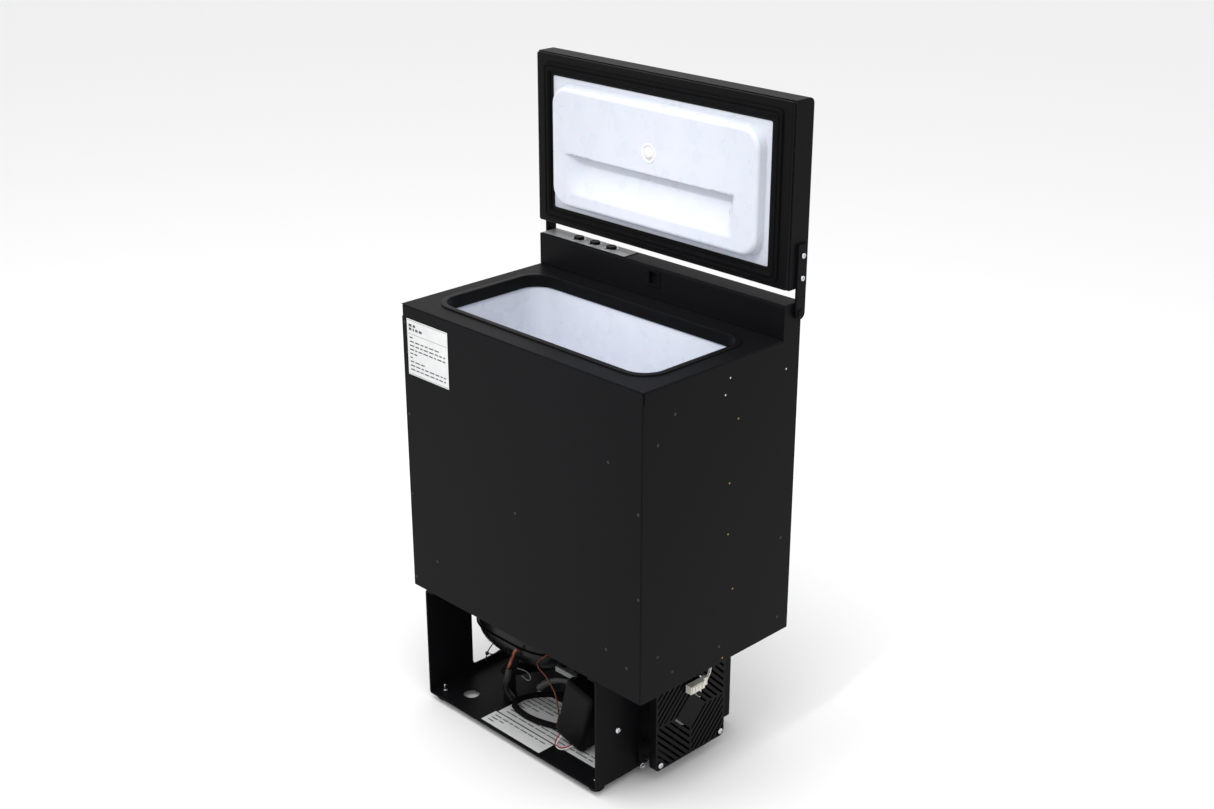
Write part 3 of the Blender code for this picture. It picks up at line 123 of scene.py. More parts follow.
def mottle(tree, shader, place, size_mm, codes, roughness, bump_mm=0.0, detail=4.0, stretch=(1, 1, 1)):
    """Lets colour, roughness and height vary together over patches of a real size."""
    stretched = add_node(tree, "ShaderNodeMapping", [("Vector", place)], [("Scale", stretch)])
    noise = add_node(tree, "ShaderNodeTexNoise", [("Vector", stretched.outputs["Vector"])],
                     [("Scale", 1 / (size_mm * MM)), ("Detail", detail), ("Roughness", 0.6)])
    ramp = add_node(tree, "ShaderNodeValToRGB", [("Fac", noise.outputs["Fac"])])
    for stop, (position, code) in zip(ramp.color_ramp.elements, zip((0.3, 0.7), codes)):
        stop.position = position
        stop.color = srgb(code)
    span = add_node(tree, "ShaderNodeMapRange", [("Value", noise.outputs["Fac"])],
                    [("From Min", 0.3), ("From Max", 0.7), ("To Min", roughness[0]), ("To Max", roughness[1])])
    tree.links.new(ramp.outputs["Color"], shader.inputs["Base Color"])
    tree.links.new(span.outputs["Result"], shader.inputs["Roughness"])
    if bump_mm:
        relief = add_node(tree, "ShaderNodeBump", [("Height", noise.outputs["Fac"])],
                          [("Strength", 1.0), ("Distance", bump_mm * MM)])
        tree.links.new(relief.outputs["Normal"], shader.inputs["Normal"])
    return noise


FINISH = {}

# %% [markdown]
# ## Black powder coat
# The cabinet is folded mild steel with a satin black polyester powder coat, baked on. Powder flows
# out to a faint orange peel, so a highlight breaks up softly. Its real waves are near 1 mm across.
# They are drawn at 2.5 mm, as finer ones would not show. The coat is matted, so it reflects little.

# %% Powder coat
coat, tree, shader, place = start_finish("satin_powder_coat", "#0e0e10", 0.42, specular=0.05)
mottle(tree, shader, place, 2.5, ("#0c0c0e", "#111113"), (0.38, 0.48), bump_mm=0.012)
FINISH["black_powder_coat"] = coat
print("made", coat.name)

# %% [markdown]
# ## Moulded black plastics and rubber
# The fan, its guard, the trim and the small covers are moulded ABS or PBT with a fine spark-eroded
# texture. The feet, mounts and gasket are EPDM rubber and flexible PVC. Rubber is rougher, and
# keeps a grey bloom in patches.

# %% Moulded ABS and rubber
abs_black, tree, shader, place = start_finish("moulded_abs_black", "#0b0b0c", 0.38, ior=1.53, specular=0.06)
mottle(tree, shader, place, 1.2, ("#09090a", "#0f0f10"), (0.34, 0.44), bump_mm=0.010)
FINISH["black_plastic"] = abs_black

epdm, tree, shader, place = start_finish("epdm_rubber", "#0a0a0b", 0.66, ior=1.52, specular=0.05)
mottle(tree, shader, place, 6.0, ("#08080a", "#101011"), (0.58, 0.74), bump_mm=0.020)
FINISH["black_rubber"] = epdm
print("made", abs_black.name, epdm.name)

# %% [markdown]
# ## White liner
# The tub and the lid's inside are high-impact polystyrene sheet, vacuum formed over a mould. The
# sheet is bluish white with a soft gloss, and it keeps slow waves where it was drawn thin.

# %% Polystyrene liner
liner_white, tree, shader, place = start_finish("formed_polystyrene", "#cfd3de", 0.28, ior=1.59, specular=0.45)
shader.inputs["Subsurface Weight"].default_value = 0.08
shader.inputs["Subsurface Scale"].default_value = 0.002
mottle(tree, shader, place, 28.0, ("#cdd1dc", "#d1d5df"), (0.26, 0.31), bump_mm=0.015, detail=1.0)
FINISH["white_liner"] = liner_white
print("made", liner_white.name)

# %% [markdown]
# ## Metals
# The cold plate round the tub is mill-finish aluminium with fine rolling lines. Refrigerant
# tube is drawn copper that has browned with heat near the brazed joints. Screws, nuts and rings
# are bright zinc plate, which is a little cloudy.

# %% Aluminium, copper and zinc
mill, tree, shader, place = start_finish("mill_aluminium", "#c9cacb", 0.34, metallic=1.0)
mottle(tree, shader, place, 1.5, ("#b9babc", "#d4d5d6"), (0.28, 0.42), bump_mm=0.004, stretch=(1, 1, 0.08))
FINISH["aluminium"] = mill

copper, tree, shader, place = start_finish("drawn_copper", "#8a5340", 0.30, metallic=1.0)
mottle(tree, shader, place, 14.0, ("#643a2c", "#b47358"), (0.24, 0.42), bump_mm=0.010)
FINISH["copper"] = copper

zinc, tree, shader, place = start_finish("bright_zinc_plate", "#cfd0d2", 0.22, metallic=1.0)
mottle(tree, shader, place, 1.6, ("#bdbec2", "#e0e1e3"), (0.16, 0.30), bump_mm=0.006)
FINISH["zinc_steel"] = zinc
print("made", mill.name, copper.name, zinc.name)

# %% [markdown]
# ## Enamel, foam, film and lens
# The compressor is dipped in gloss black enamel, which pools and runs a little. Polyurethane foam
# is cream with fine cells. Labels are white film, the control strip is a light grey overlay, and
# the lamp's lens is frosted polycarbonate.

# %% Enamel and foam
enamel, tree, shader, place = start_finish("dipped_enamel", "#0c0c0d", 0.26, ior=1.5, specular=0.20)
mottle(tree, shader, place, 12.0, ("#0a0a0b", "#101011"), (0.22, 0.36), bump_mm=0.06)
FINISH["compressor_paint"] = enamel

foam, tree, shader, place = start_finish("polyurethane_foam", "#e2d5a8", 0.9)
mottle(tree, shader, place, 2.0, ("#d3c48f", "#ecdfb6"), (0.85, 0.95), bump_mm=0.25)
FINISH["insulation_foam"] = foam

# %% Films, board and lens
film, tree, shader, place = start_finish("white_label_film", "#d2d3d3", 0.42, ior=1.5)
mottle(tree, shader, place, 9.0, ("#cecfd0", "#d8d8d8"), (0.36, 0.48), bump_mm=0.006)
FINISH["label_paper"] = film

overlay, tree, shader, place = start_finish("grey_overlay_film", "#8b8c8e", 0.36, ior=1.57)
mottle(tree, shader, place, 3.0, ("#808183", "#959698"), (0.30, 0.42), bump_mm=0.006)
FINISH["grey_strip"] = overlay

mask, tree, shader, place = start_finish("green_solder_mask", "#1d4a2b", 0.35)
mottle(tree, shader, place, 2.5, ("#173d23", "#245a35"), (0.28, 0.42), bump_mm=0.02)
FINISH["circuit_board"] = mask

frost, tree, shader, place = start_finish("frosted_polycarbonate", "#e3dfd8", 0.38, ior=1.586)
mottle(tree, shader, place, 2.0, ("#d9d5cd", "#ece9e4"), (0.30, 0.46), bump_mm=0.02)
FINISH["clear_lens"] = frost
print("made", len(FINISH), "finishes for the packed pieces")

# %% [markdown]
# ## Finishes for the small added pieces
# Printing ink, wire sleeves, a nylon connector and yellow-passivated dimples in the steel each
# need their own colour. They are simple plastics, so a little mottling is enough.

# %% Ink, PVC and nylon
EXTRA = {}
for name, code, low_code, high_code, rough in (
        ("printing_ink", "#3c3d40", "#343538", "#46474a", 0.5),
        ("white_ink", "#c9cacc", "#bfc0c2", "#d3d4d6", 0.5),
        ("black_pvc_sleeve", "#0b0b0c", "#09090a", "#101011", 0.42),
        ("red_pvc_sleeve", "#a3262a", "#8f1f23", "#b32d31", 0.36),
        ("white_pvc_sleeve", "#dcdbd6", "#d2d1cc", "#e6e5e1", 0.36),
        ("natural_nylon", "#d8d6cb", "#c9c7ba", "#e4e2d9", 0.40),
        ("grey_bracket_plastic", "#5d625f", "#4f5451", "#6d726f", 0.30),
        ("browned_copper", "#59392c", "#452b21", "#70493a", 0.35),
        # dimple_shadow is painted shade: the dark inside of a dimple, given as colour on a dome
        ("dimple_shadow", "#0d0d0e", "#0b0b0c", "#111112", 0.6),
        ("yellow_zinc", "#9c8a55", "#86753f", "#b3a16c", 0.40)):
    metal = float("zinc" in name or "copper" in name)
    extra, tree, shader, place = start_finish(name, code, rough, metallic=metal)
    mottle(tree, shader, place, 3.0, (low_code, high_code), (rough - 0.06, rough + 0.06), bump_mm=0.01)
    EXTRA[name] = extra
print("made", len(EXTRA), "more finishes")

# %% [markdown]
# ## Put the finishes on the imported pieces
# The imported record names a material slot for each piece. A real fold is never sharp, so a small
# bevel on each piece gives its edges the thin bright line that tells the eye it is sheet or
# moulding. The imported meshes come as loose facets, so a weld joins them before the bevel.

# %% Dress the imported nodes
EDGE = {"black_powder_coat": 0.45, "black_plastic": 0.35, "black_rubber": 0.25, "aluminium": 0.1,
        "grey_strip": 0.1, "label_paper": 0.05}


def soften(obj, width_mm, angle=32):
    weld = obj.modifiers.new("Weld", "WELD")
    weld.merge_threshold = 0.00002
    if width_mm:
        bevel = obj.modifiers.new("Bevel", "BEVEL")
        bevel.width = width_mm * MM
        bevel.segments = 2
        bevel.limit_method = "ANGLE"
        bevel.angle_limit = math.radians(angle)
        bevel.harden_normals = False


for part in frame["record"]["subparts"]:
    node = frame["nodes"][part["node"]]
    node.data.materials.clear()
    node.data.materials.append(FINISH[part["material_slot"]])
    soften(node, EDGE.get(part["material_slot"], 0))
frame["nodes"]["capillary_tube"].data.materials[0] = EXTRA["browned_copper"]

# %% [markdown]
# ## Making meshes
# Almost every fine piece here is a stack of outlines joined into a skin, or a profile turned about
# an axis. Both are drawn in millimetres and put in place by one matrix.


# %% Mesh helpers
def make(name, bm, finish, body, matrix=None, smooth=35.0, replaces=()):
    """Turns a mesh into a piece of the object that rides on a body."""
    if matrix is not None:
        bmesh.ops.transform(bm, matrix=matrix, verts=bm.verts)
    bmesh.ops.recalc_face_normals(bm, faces=bm.faces)
    mesh = bpy.data.meshes.new(name)
    bm.to_mesh(mesh)
    bm.free()
    mesh.shade_smooth()
    mesh.set_sharp_from_angle(angle=math.radians(smooth))
    mesh.materials.append(finish)
    obj = bpy.data.objects.new(name, mesh)
    bpy.context.scene.collection.objects.link(obj)
    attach(obj, body)
    if replaces:
        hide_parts(*replaces)
    return obj


def skin(bm, loops, ring=False, capped=True):
    """Joins loops of equal length into a skin, in millimetres."""
    rows = [[bm.verts.new(Vector(point) * MM) for point in loop] for loop in loops]
    for lower, upper in zip(rows, rows[1:] + rows[:1] if ring else rows[1:]):
        for i in range(len(lower)):
            j = (i + 1) % len(lower)
            bm.faces.new((lower[i], lower[j], upper[j], upper[i]))
    if capped and not ring:
        bm.faces.new(rows[0])
        bm.faces.new(rows[-1])
    return bm


def arc(centre, radius, start, end, steps):
    angles = [math.radians(start + (end - start) * i / steps) for i in range(steps + 1)]
    return [(centre[0] + radius * math.cos(a), centre[1] + radius * math.sin(a)) for a in angles]


def box_loop(half, front, back, radius, height, corner=10, runs=(1, 1)):
    """A rounded rectangle about X = 0 at one height. The runs split its long and short sides."""
    radius = max(radius, 0.2)
    x, y0, y1 = half - radius, front + radius, back - radius
    points = []
    for (cx, cy), turn in (((x, y1), 0), ((-x, y1), 90), ((-x, y0), 180), ((x, y0), 270)):
        points += arc((cx, cy), radius, turn, turn + 90, corner)
    loop = []
    side = corner + 1
    for quarter in range(4):
        loop += points[quarter * side:(quarter + 1) * side]
        a = Vector(points[(quarter + 1) * side - 1])
        b = Vector(points[((quarter + 1) * side) % len(points)])
        steps = runs[quarter % 2]
        loop += [tuple(a.lerp(b, i / steps)) for i in range(1, steps)]
    return [(px, py, height) for px, py in loop]


def turned(bm, profile, place, axis="Z", turn=1, sides=32):
    """A body turned from pairs of radius and height, standing at a place in millimetres."""
    rows = []
    for radius, height in profile:
        circle = arc((0, 0), max(radius, 0.02), 0, 360 - 360 / sides, sides - 1)
        if axis == "Z":
            rows.append([(place[0] + a, place[1] + b, place[2] + turn * height) for a, b in circle])
        elif axis == "X":
            rows.append([(place[0] + turn * height, place[1] + a, place[2] + b) for a, b in circle])
        else:
            rows.append([(place[0] + a, place[1] + turn * height, place[2] + b) for a, b in circle])
    return skin(bm, rows)


def block(bm, low, high):
    (x0, y0, z0), (x1, y1, z1) = low, high
    return skin(bm, [[(x0, y0, z), (x1, y0, z), (x1, y1, z), (x0, y1, z)] for z in (z0, z1)])


CABINET = Matrix.Translation(spot(0, 0, 0))
print("cabinet corner", tuple(round(v, 4) for v in CABINET.translation))

# %% [markdown]
# ## The tub
# One sheet drawn down into the cabinet, with a wide round at its corners and its floor. A stack of
# rounded rectangles follows that shape exactly: the walls lean in a little so that the formed
# sheet would leave its mould.

# %% Tub and trim
OPENING_HALF, OPENING_FRONT, OPENING_BACK, OPENING_RADIUS = 171.0, 32.0, 192.0, 27.0
tub_floor = (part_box("inner_liner")[0].z - BOTTOM) / MM
tub_top = (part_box("inner_liner")[1].z - BOTTOM) / MM
lid_plane = (TOP - BOTTOM) / MM


def opening(offset, height):
    """An outline round the opening, grown by the offset."""
    return box_loop(OPENING_HALF + offset, OPENING_FRONT - offset, OPENING_BACK + offset,
                    OPENING_RADIUS + offset, height, 14)


def tub_walls(offset, floor, fillet):
    loops = []
    for step in range(9):
        angle = math.radians(270 + 90 * step / 8)
        loops.append(opening(offset - fillet + fillet * math.cos(angle),
                             floor + fillet + fillet * math.sin(angle)))
    return loops


tub = tub_walls(1.5, tub_floor + 1.5, 14.0)
tub += [opening(1.5, tub_top), opening(9.0, tub_top), opening(9.0, tub_top - 1.5), opening(3.0, tub_top - 1.5)]
tub += tub_walls(3.0, tub_floor, 15.5)[::-1]
make("tub", skin(bmesh.new(), tub), liner_white, "cabinet", CABINET, replaces=["inner_liner"])

seam = block(bmesh.new(), (-172.45, 62.0, tub_floor + 20), (-172.15, 62.7, tub_top - 4))
make("tub_mould_line", seam, liner_white, "cabinet", CABINET)

trim = [(1.2, 0.3), (7.3, 0.3), (7.5, 0.5), (7.5, 1.1), (7.1, 1.6), (6.4, 1.8), (1.2, 1.8), (0.5, 1.6),
        (0.1, 1.1), (0.0, 0.4), (0.0, -13.6), (0.3, -14.0), (1.2, -14.0)]
trim_loops = [opening(offset, lid_plane + height) for offset, height in trim]
make("opening_trim_moulding", skin(bmesh.new(), trim_loops, ring=True), abs_black, "cabinet",
     CABINET, replaces=["opening_trim"])
print("tub from", tub_floor, "to", tub_top)

# %% [markdown]
# ## The lid's inner liner
# Another formed sheet: a flange, then a raised plug with soft edges, and a finger scoop pressed
# into its face. The scoop is deep under its sharp edge and fades out towards the hinge. Rings of
# points run round the plug and then inwards over its face, and a height for each point makes the
# scoop. Rings crowd together at the sharp edge, so it stays crisp.

# %% Lid liner
PLUG_HALF, PLUG_FRONT, PLUG_BACK, PLUG_RADIUS = 165.0, -207.0, -59.0, 24.0
liner_low, liner_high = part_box("lid_inner_liner")
flange_face = (liner_high.y - PIVOT.y) / MM - 1.5
plug_face = (liner_low.y - PIVOT.y) / MM
SCOOP_EDGE, SCOOP_FADE, SCOOP_DEPTH = -127.0, -78.0, 13.0
SCOOP_LEFT, SCOOP_RIGHT = -145.0, 133.0
SCOOP_RAMP, SCOOP_RIGHT_RAMP = 33.0, 15.0
FACE_RUNS = (170, 44)


def ease(value):
    value = min(max(value, 0.0), 1.0)
    return value * value * (3 - 2 * value)


def scoop_depth(x, y):
    """How far the face is pressed in at a point."""
    if not SCOOP_EDGE < y < SCOOP_FADE:
        return 0.0
    run = (y - SCOOP_EDGE) / (SCOOP_FADE - SCOOP_EDGE)
    across = ease((x - SCOOP_LEFT) / SCOOP_RAMP) * ease((SCOOP_RIGHT - x) / SCOOP_RIGHT_RAMP)
    return SCOOP_DEPTH * across * ease((y - SCOOP_EDGE) / 1.4) * (1 - run) ** 0.9


def plug_loop(inset, height):
    return box_loop(PLUG_HALF - inset, PLUG_FRONT + inset, PLUG_BACK - inset, PLUG_RADIUS - inset, height,
                    10, FACE_RUNS)


def lid_liner_mesh():
    edge = liner_high.x / MM
    front, back = -(liner_high.z - PIVOT.z) / MM, -(liner_low.z - PIVOT.z) / MM
    loops = [box_loop(edge, front, back, 2.0, flange_face, 10, FACE_RUNS)]
    loops += [plug_loop(-1.6, flange_face), plug_loop(-0.7, flange_face - 0.3), plug_loop(0, flange_face - 1.4)]
    loops += [plug_loop(2 + 4.5 * (1 - math.cos(math.radians(a))),
                        plug_face + 4.5 * (1 - math.sin(math.radians(a)))) for a in range(0, 91, 15)]
    insets = [7 + 1.7 * i for i in range(35)] + [67.0, 67.4, 67.8, 68.2, 68.8, 70, 72, 73.6]
    for inset in insets:
        loops.append([(x, y, z + scoop_depth(x, y)) for x, y, z in plug_loop(inset, plug_face)])
    bm = skin(bmesh.new(), loops, capped=False)
    bm.verts.ensure_lookup_table()
    bm.faces.new(bm.verts[-len(loops[0]):])
    return bm


lid_liner = make("lid_liner_formed", lid_liner_mesh(), liner_white, "lid", LID_OPEN,
                 smooth=50, replaces=["lid_inner_liner"])
sheet = lid_liner.modifiers.new("Sheet", "SOLIDIFY")
sheet.thickness = 0.0011
sheet.offset = -1.0
print("plug stands", round(flange_face - plug_face, 2), "mm off its flange")

# %% [markdown]
# ## Gasket and lamp
# The gasket is an extruded PVC profile with a hollow bulb and two ribs, bent round the frame. Its
# ribs read as fine lines round the window. The lamp is a small lens in a raised ring.


# %% Gasket and lamp
def window(offset, height):
    gap = 7.5 + offset
    return box_loop(PLUG_HALF + gap, PLUG_FRONT - gap, PLUG_BACK + gap, 2.0 + offset * 0.3, height, 5)


gasket_top = (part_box("lid_gasket")[1].y - PIVOT.y) / MM
profile = [(4.0, 0.0), (4.0, -1.0), (4.6, -1.5), (5.4, -1.4), (6.0, -2.4), (6.8, -2.8), (9.4, -2.8),
           (10.2, -2.4), (10.7, -1.2), (11.8, -1.2), (12.2, -2.0), (14.4, -2.2), (15.2, -1.8), (15.5, -1.0),
           (15.5, 0.0)]
make("lid_gasket_profile", skin(bmesh.new(), [window(o, gasket_top + h) for o, h in profile], ring=True),
     epdm, "lid", LID_OPEN, smooth=28, replaces=["lid_gasket"])

# %% Edge seal and lamp
# The seal is a thin dark strip over the joint of pan and frame, so that no foam shows.
pan_low, pan_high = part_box("lid_outer_shell")
pan_half = pan_high.x / MM
pan_front, pan_back = -(pan_high.z - PIVOT.z) / MM, -(pan_low.z - PIVOT.z) / MM
rim = (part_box("lid_frame")[1].y - PIVOT.y) / MM
seal = [box_loop(pan_half - inset, pan_front + inset, pan_back - inset, 2.0, rim + height, 5)
        for inset, height in ((1.1, 0.02), (1.1, 0.28), (2.3, 0.28), (2.3, 0.02))]
make("lid_edge_seal", skin(bmesh.new(), seal, ring=True), epdm, "lid", LID_OPEN)

lamp_low, lamp_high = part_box("lamp_lens")
lamp_centre = (0, -(lamp_low.z + lamp_high.z - 2 * PIVOT.z) / 2 / MM, plug_face - 0.2)
lens = [(11.5, 0.0), (11.5, 0.6), (11.0, 1.3), (10.2, 1.5), (9.4, 1.3), (8.8, 0.7), (7.4, 0.5), (6.6, 0.8),
        (6.2, 1.5), (5.2, 2.0), (3.0, 2.3), (0.0, 2.4)]
make("lamp_lens_moulding", turned(bmesh.new(), lens, lamp_centre, "Z", -1, 48), frost, "lid",
     LID_OPEN, replaces=["lamp_lens"])
print("lamp at", lamp_centre)

# %% [markdown]
# ## The compressor
# Two deep-drawn steel halves are welded at a flange and dipped in enamel. A squarish oval that
# grows and shrinks with height gives the drawn shape, and a rolled bead marks the weld. The shell
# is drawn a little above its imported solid's floor, on three short legs.

# %% Compressor shell
shell_low, shell_high = cabinet_box("compressor_shell")
shell_mid = (shell_low + shell_high) / 2
shell_half = (shell_high - shell_low) / 2
WELD_HEIGHT = shell_low.z + 2 * shell_half.z * 0.52


def shell_loop(share, height, sides=72):
    loop = []
    for i in range(sides):
        c, s = math.cos(2 * math.pi * i / sides), math.sin(2 * math.pi * i / sides)
        loop.append((shell_mid.x + math.copysign(abs(c) ** 0.62, c) * shell_half.x * share,
                     shell_mid.y + math.copysign(abs(s) ** 0.62, s) * shell_half.y * share, height))
    return loop


def dome(end, turns):
    """Loops from the weld towards one end, steep at the side and flat at the end."""
    start = WELD_HEIGHT + math.copysign(1.6, end - WELD_HEIGHT)
    span = math.cos(math.radians(12))
    return [shell_loop(0.962 * math.sin(math.radians(t)) ** 0.55,
                       start + (end - start) * math.cos(math.radians(t)) / span) for t in turns]


LEG_HEIGHT = 10.0
lower = dome(shell_low.z + LEG_HEIGHT, (12, 18, 26, 36, 48, 60, 72, 82, 90))
upper = dome(shell_high.z, (90, 82, 72, 60, 48, 36, 26, 18, 12))
weld = [shell_loop(0.985, WELD_HEIGHT - 1.5), shell_loop(1.0, WELD_HEIGHT - 0.8),
        shell_loop(1.0, WELD_HEIGHT + 0.8), shell_loop(0.985, WELD_HEIGHT + 1.5)]
make("compressor_drawn_shell", skin(bmesh.new(), lower + weld + upper), enamel, "cabinet",
     CABINET, smooth=50, replaces=["compressor_shell"])
legs = bmesh.new()
for across, back in ((0, -0.45), (-0.5, 0.4), (0.5, 0.4)):
    foot = (shell_mid.x + across * shell_half.x, shell_mid.y + back * shell_half.y, shell_low.z)
    turned(legs, [(9.0, 0.0), (9.0, 1.5), (5.5, 2.5), (5.5, LEG_HEIGHT + 3.0)], foot, "Z", 1, 24)
make("compressor_legs", legs, enamel, "cabinet", CABINET)
print("shell", [round(v, 1) for v in 2 * shell_half])

# %% [markdown]
# ## Fan and condenser
# The rotor is one moulding: a hub and seven blades that twist and cup. Each blade is a stack of
# curved sections from hub to tip. The condenser is a row of thin fins on looped tubes, painted
# black all over, so it is made fin by fin instead of as a block.

# %% Fan rotor
rotor_low, rotor_high = cabinet_box("fan_rotor")
fan_low, fan_high = cabinet_box("fan_frame")
FAN_Y, FAN_Z = (fan_low.y + fan_high.y) / 2, (fan_low.z + fan_high.z) / 2
HUB_RADIUS, ROOT_RADIUS, TIP_RADIUS, BLADES = 20, 18.5, 55.6, 7


def blade(bm, number):
    middle = (rotor_low.x + rotor_high.x) / 2 - 0.5
    rows = []
    for i in range(7):
        radius = ROOT_RADIUS + (TIP_RADIUS - ROOT_RADIUS) * i / 6
        centre = 2 * math.pi * number / BLADES + 0.010 * (radius - ROOT_RADIUS)
        half_arc = 0.36 - 0.0012 * (radius - ROOT_RADIUS)
        face, back = [], []
        for j in range(9):
            s = -1 + j / 4
            angle = centre + s * half_arc
            x = middle + 7.4 * s - 1.8 * (1 - s * s)
            thick = 0.35 + 0.5 * (1 - s * s)
            y, z = FAN_Y + radius * math.cos(angle), FAN_Z + radius * math.sin(angle)
            face.append((x + thick, y, z))
            back.append((x - thick, y, z))
        rows.append(face + back[::-1])
    return skin(bm, rows)


rotor = bmesh.new()
hub_depth = rotor_high.x - rotor_low.x
hub = [(3, 1.0), (17, 0.0), (19, 0.4), (HUB_RADIUS, 1.6), (HUB_RADIUS, hub_depth - 0.6), (19.4, hub_depth),
       (3, hub_depth)]
turned(rotor, hub, (rotor_low.x, FAN_Y, FAN_Z), "X", 1, 48)
for number in range(BLADES):
    blade(rotor, number)
make("fan_rotor_blades", rotor, abs_black, "fan", CABINET, replaces=["fan_rotor"])

sticker = turned(bmesh.new(), [(21.5, 0.04), (21.5, 0.16)], (fan_high.x, FAN_Y, FAN_Z), "X", 1, 48)
make("fan_hub_sticker", sticker, film, "cabinet", CABINET)

# %% Condenser fins
core_low, core_high = cabinet_box("condenser_core")
core = bmesh.new()
FIN_PITCH = 2.0
for i in range(int((core_high.y - core_low.y - 2) / FIN_PITCH)):
    y = core_low.y + 2 + i * FIN_PITCH
    block(core, (core_low.x + 1, y, core_low.z), (core_high.x, y + 0.3, core_high.z))
for y in (core_low.y, core_high.y - 1.2):
    block(core, (core_low.x + 0.3, y, core_low.z), (core_high.x, y + 1.2, core_high.z))
make("condenser_fins", core, coat, "cabinet", CABINET, replaces=["condenser_core"])

tubes = bmesh.new()
for row in range(5):
    z = core_low.z + 12 + row * (core_high.z - core_low.z - 24) / 4
    for x in (core_low.x + 8, core_high.x - 8):
        turned(tubes, [(3.4, 0.2), (3.4, core_high.y - core_low.y - 0.4)], (x, core_low.y, z), "Y", 1, 16)
make("condenser_tubes", tubes, coat, "cabinet", CABINET)
print("condenser fins", int((core_high.y - core_low.y - 2) / FIN_PITCH))

# %% [markdown]
# ## Screws
# Every visible screw is a bright pan head with a cross recess. The recess is what makes it read as
# a screw, so it is cut as two dark slots in the dome.

# %% Cross-head screws
SCREWS = ([f"fan_screw_{i}" for i in range(1, 5)] + ["bracket_screw"]
          + [f"arm_screw_{side}_{i}" for side in ("left", "right") for i in (1, 2)])


def cross_screw(node):
    """A pan head with a cross recess, on a threaded shank, in place of a plain packed screw."""
    low, high = cabinet_box(node)
    turn = -1 if node.startswith("arm_screw_left") else 1
    radius = (high.y - low.y) / 2
    centre = ((low.y + high.y) / 2, (low.z + high.z) / 2)
    head = {"fan": 2.6, "bra": 2.8, "arm": 2.0}[node[:3]]
    outer, inner = (high.x, low.x) if turn == 1 else (low.x, high.x)
    seat = outer - turn * head
    shank = {"fan": 1.7, "bra": 2.0, "arm": 1.5}[node[:3]]
    profile = [(shank * 0.7, -abs(seat - inner)), (shank, 1.0 - abs(seat - inner)), (shank, 0),
               (radius * 0.96, 0), (radius, 0.2), (radius, head * 0.4), (radius * 0.9, head * 0.72), (radius * 0.62, head * 0.93),
               (radius * 0.5, head * 0.97)]
    bm = bmesh.new()
    rows = []
    sides = 32
    for r, h in profile:
        rows.append([(seat + turn * h, centre[0] + a, centre[1] + b)
                     for a, b in arc((0, 0), r, 0, 360 - 360 / sides, sides - 1)])
    for depth, share in ((0.93, 0.46), (0.45, 0.36), (0.30, 0.2)):
        row = []
        for k in range(sides):
            angle = 2 * math.pi * k / sides
            arm = abs(math.cos(2 * angle)) ** 3
            r = radius * share * (0.42 + 0.58 * arm)
            row.append((seat + turn * head * depth, centre[0] + r * math.cos(angle),
                        centre[1] + r * math.sin(angle)))
        rows.append(row)
    skin(bm, rows)
    make(node + "_cross_head", bm, zinc, "lid" if "arm" in node else "cabinet", CABINET,
         smooth=40, replaces=[node])


for name in SCREWS:
    cross_screw(name)
print("screws", len(SCREWS))

# %% [markdown]
# ## Blind rivets and dimples in the panels
# The panels are riveted and screwed from behind. Each fixing leaves a small dimple or a rivet head
# in the coat. Most are black, in a finish that is painted shade for the inside of each dimple, and a few are
# bare zinc. A low dome of the right size is enough.

# %% Fixings on the front and the side
FRONT_DOTS = [(4.6, 352.7), (5.7, 234.8), (3.8, 127.7), (5.1, 12.7), (394.2, 234.0), (395.2, 131.7),
              (348.6, 280.7), (195.9, 167.2), (48.3, 49.4), (345.4, 49.8), (377.8, 39.2)]
SIDE_DOTS = [(48.5, 337.5), (22.5, 309.2), (129.0, 23.2), (26.3, 51.7), (50.3, 22.9), (232.5, 127.1),
             (232.5, 21.3)]
WHITE_DOTS = [(135.3, 354.8), (128.0, 336.7), (230.0, 339.6)]
BRASS_DOTS = [(150.6, 302.4), (138.9, 227.7), (139.1, 164.2), (149.8, 90.8), (135.4, 5.4)]
CABINET_HALF = 200
dot = [(1.9, 0.0), (1.9, 0.12), (1.5, 0.35), (0.8, 0.5), (0.0, 0.55)]
small_dot = [(1.1, 0.0), (1.1, 0.1), (0.7, 0.3), (0.0, 0.36)]

fixings = bmesh.new()
for across, up in FRONT_DOTS:
    turned(fixings, dot, (across - CABINET_HALF, 0, up), "Y", -1, 16)
for back, up in SIDE_DOTS:
    turned(fixings, dot, (CABINET_HALF, back, up), "X", 1, 16)
    turned(fixings, dot, (-CABINET_HALF, back, up), "X", -1, 16)
# These domes carry painted shade: their dark finish stands for the shadow inside each dimple
make("panel_rivets", fixings, EXTRA["dimple_shadow"], "cabinet", CABINET)

for name, places, finish in (("bare_rivets", WHITE_DOTS, zinc),
                             ("brass_rivets", BRASS_DOTS, EXTRA["yellow_zinc"])):
    bright = bmesh.new()
    for back, up in places:
        turned(bright, small_dot, (CABINET_HALF, back, up), "X", 1, 16)
    make(name, bright, finish, "cabinet", CABINET)
# Small dark patches cover the notch where front, side and top meet, so that no foam shows.
sealant = bmesh.new()
for side in (-1, 1):
    block(sealant, (side * 198.25, 1.3, 358.0), (side * 198.75, 2.7, 373.2))
make("corner_sealant", sealant, epdm, "cabinet", CABINET)
print("fixings", len(FRONT_DOTS) + 2 * len(SIDE_DOTS) + len(WHITE_DOTS) + len(BRASS_DOTS))

# %% [markdown]
# ## Labels
# A rating label on the front and two data sheets on the tray's floor. The real print is too fine
# to read from here, so plain bars of ink stand for its lines, with a ruled frame.


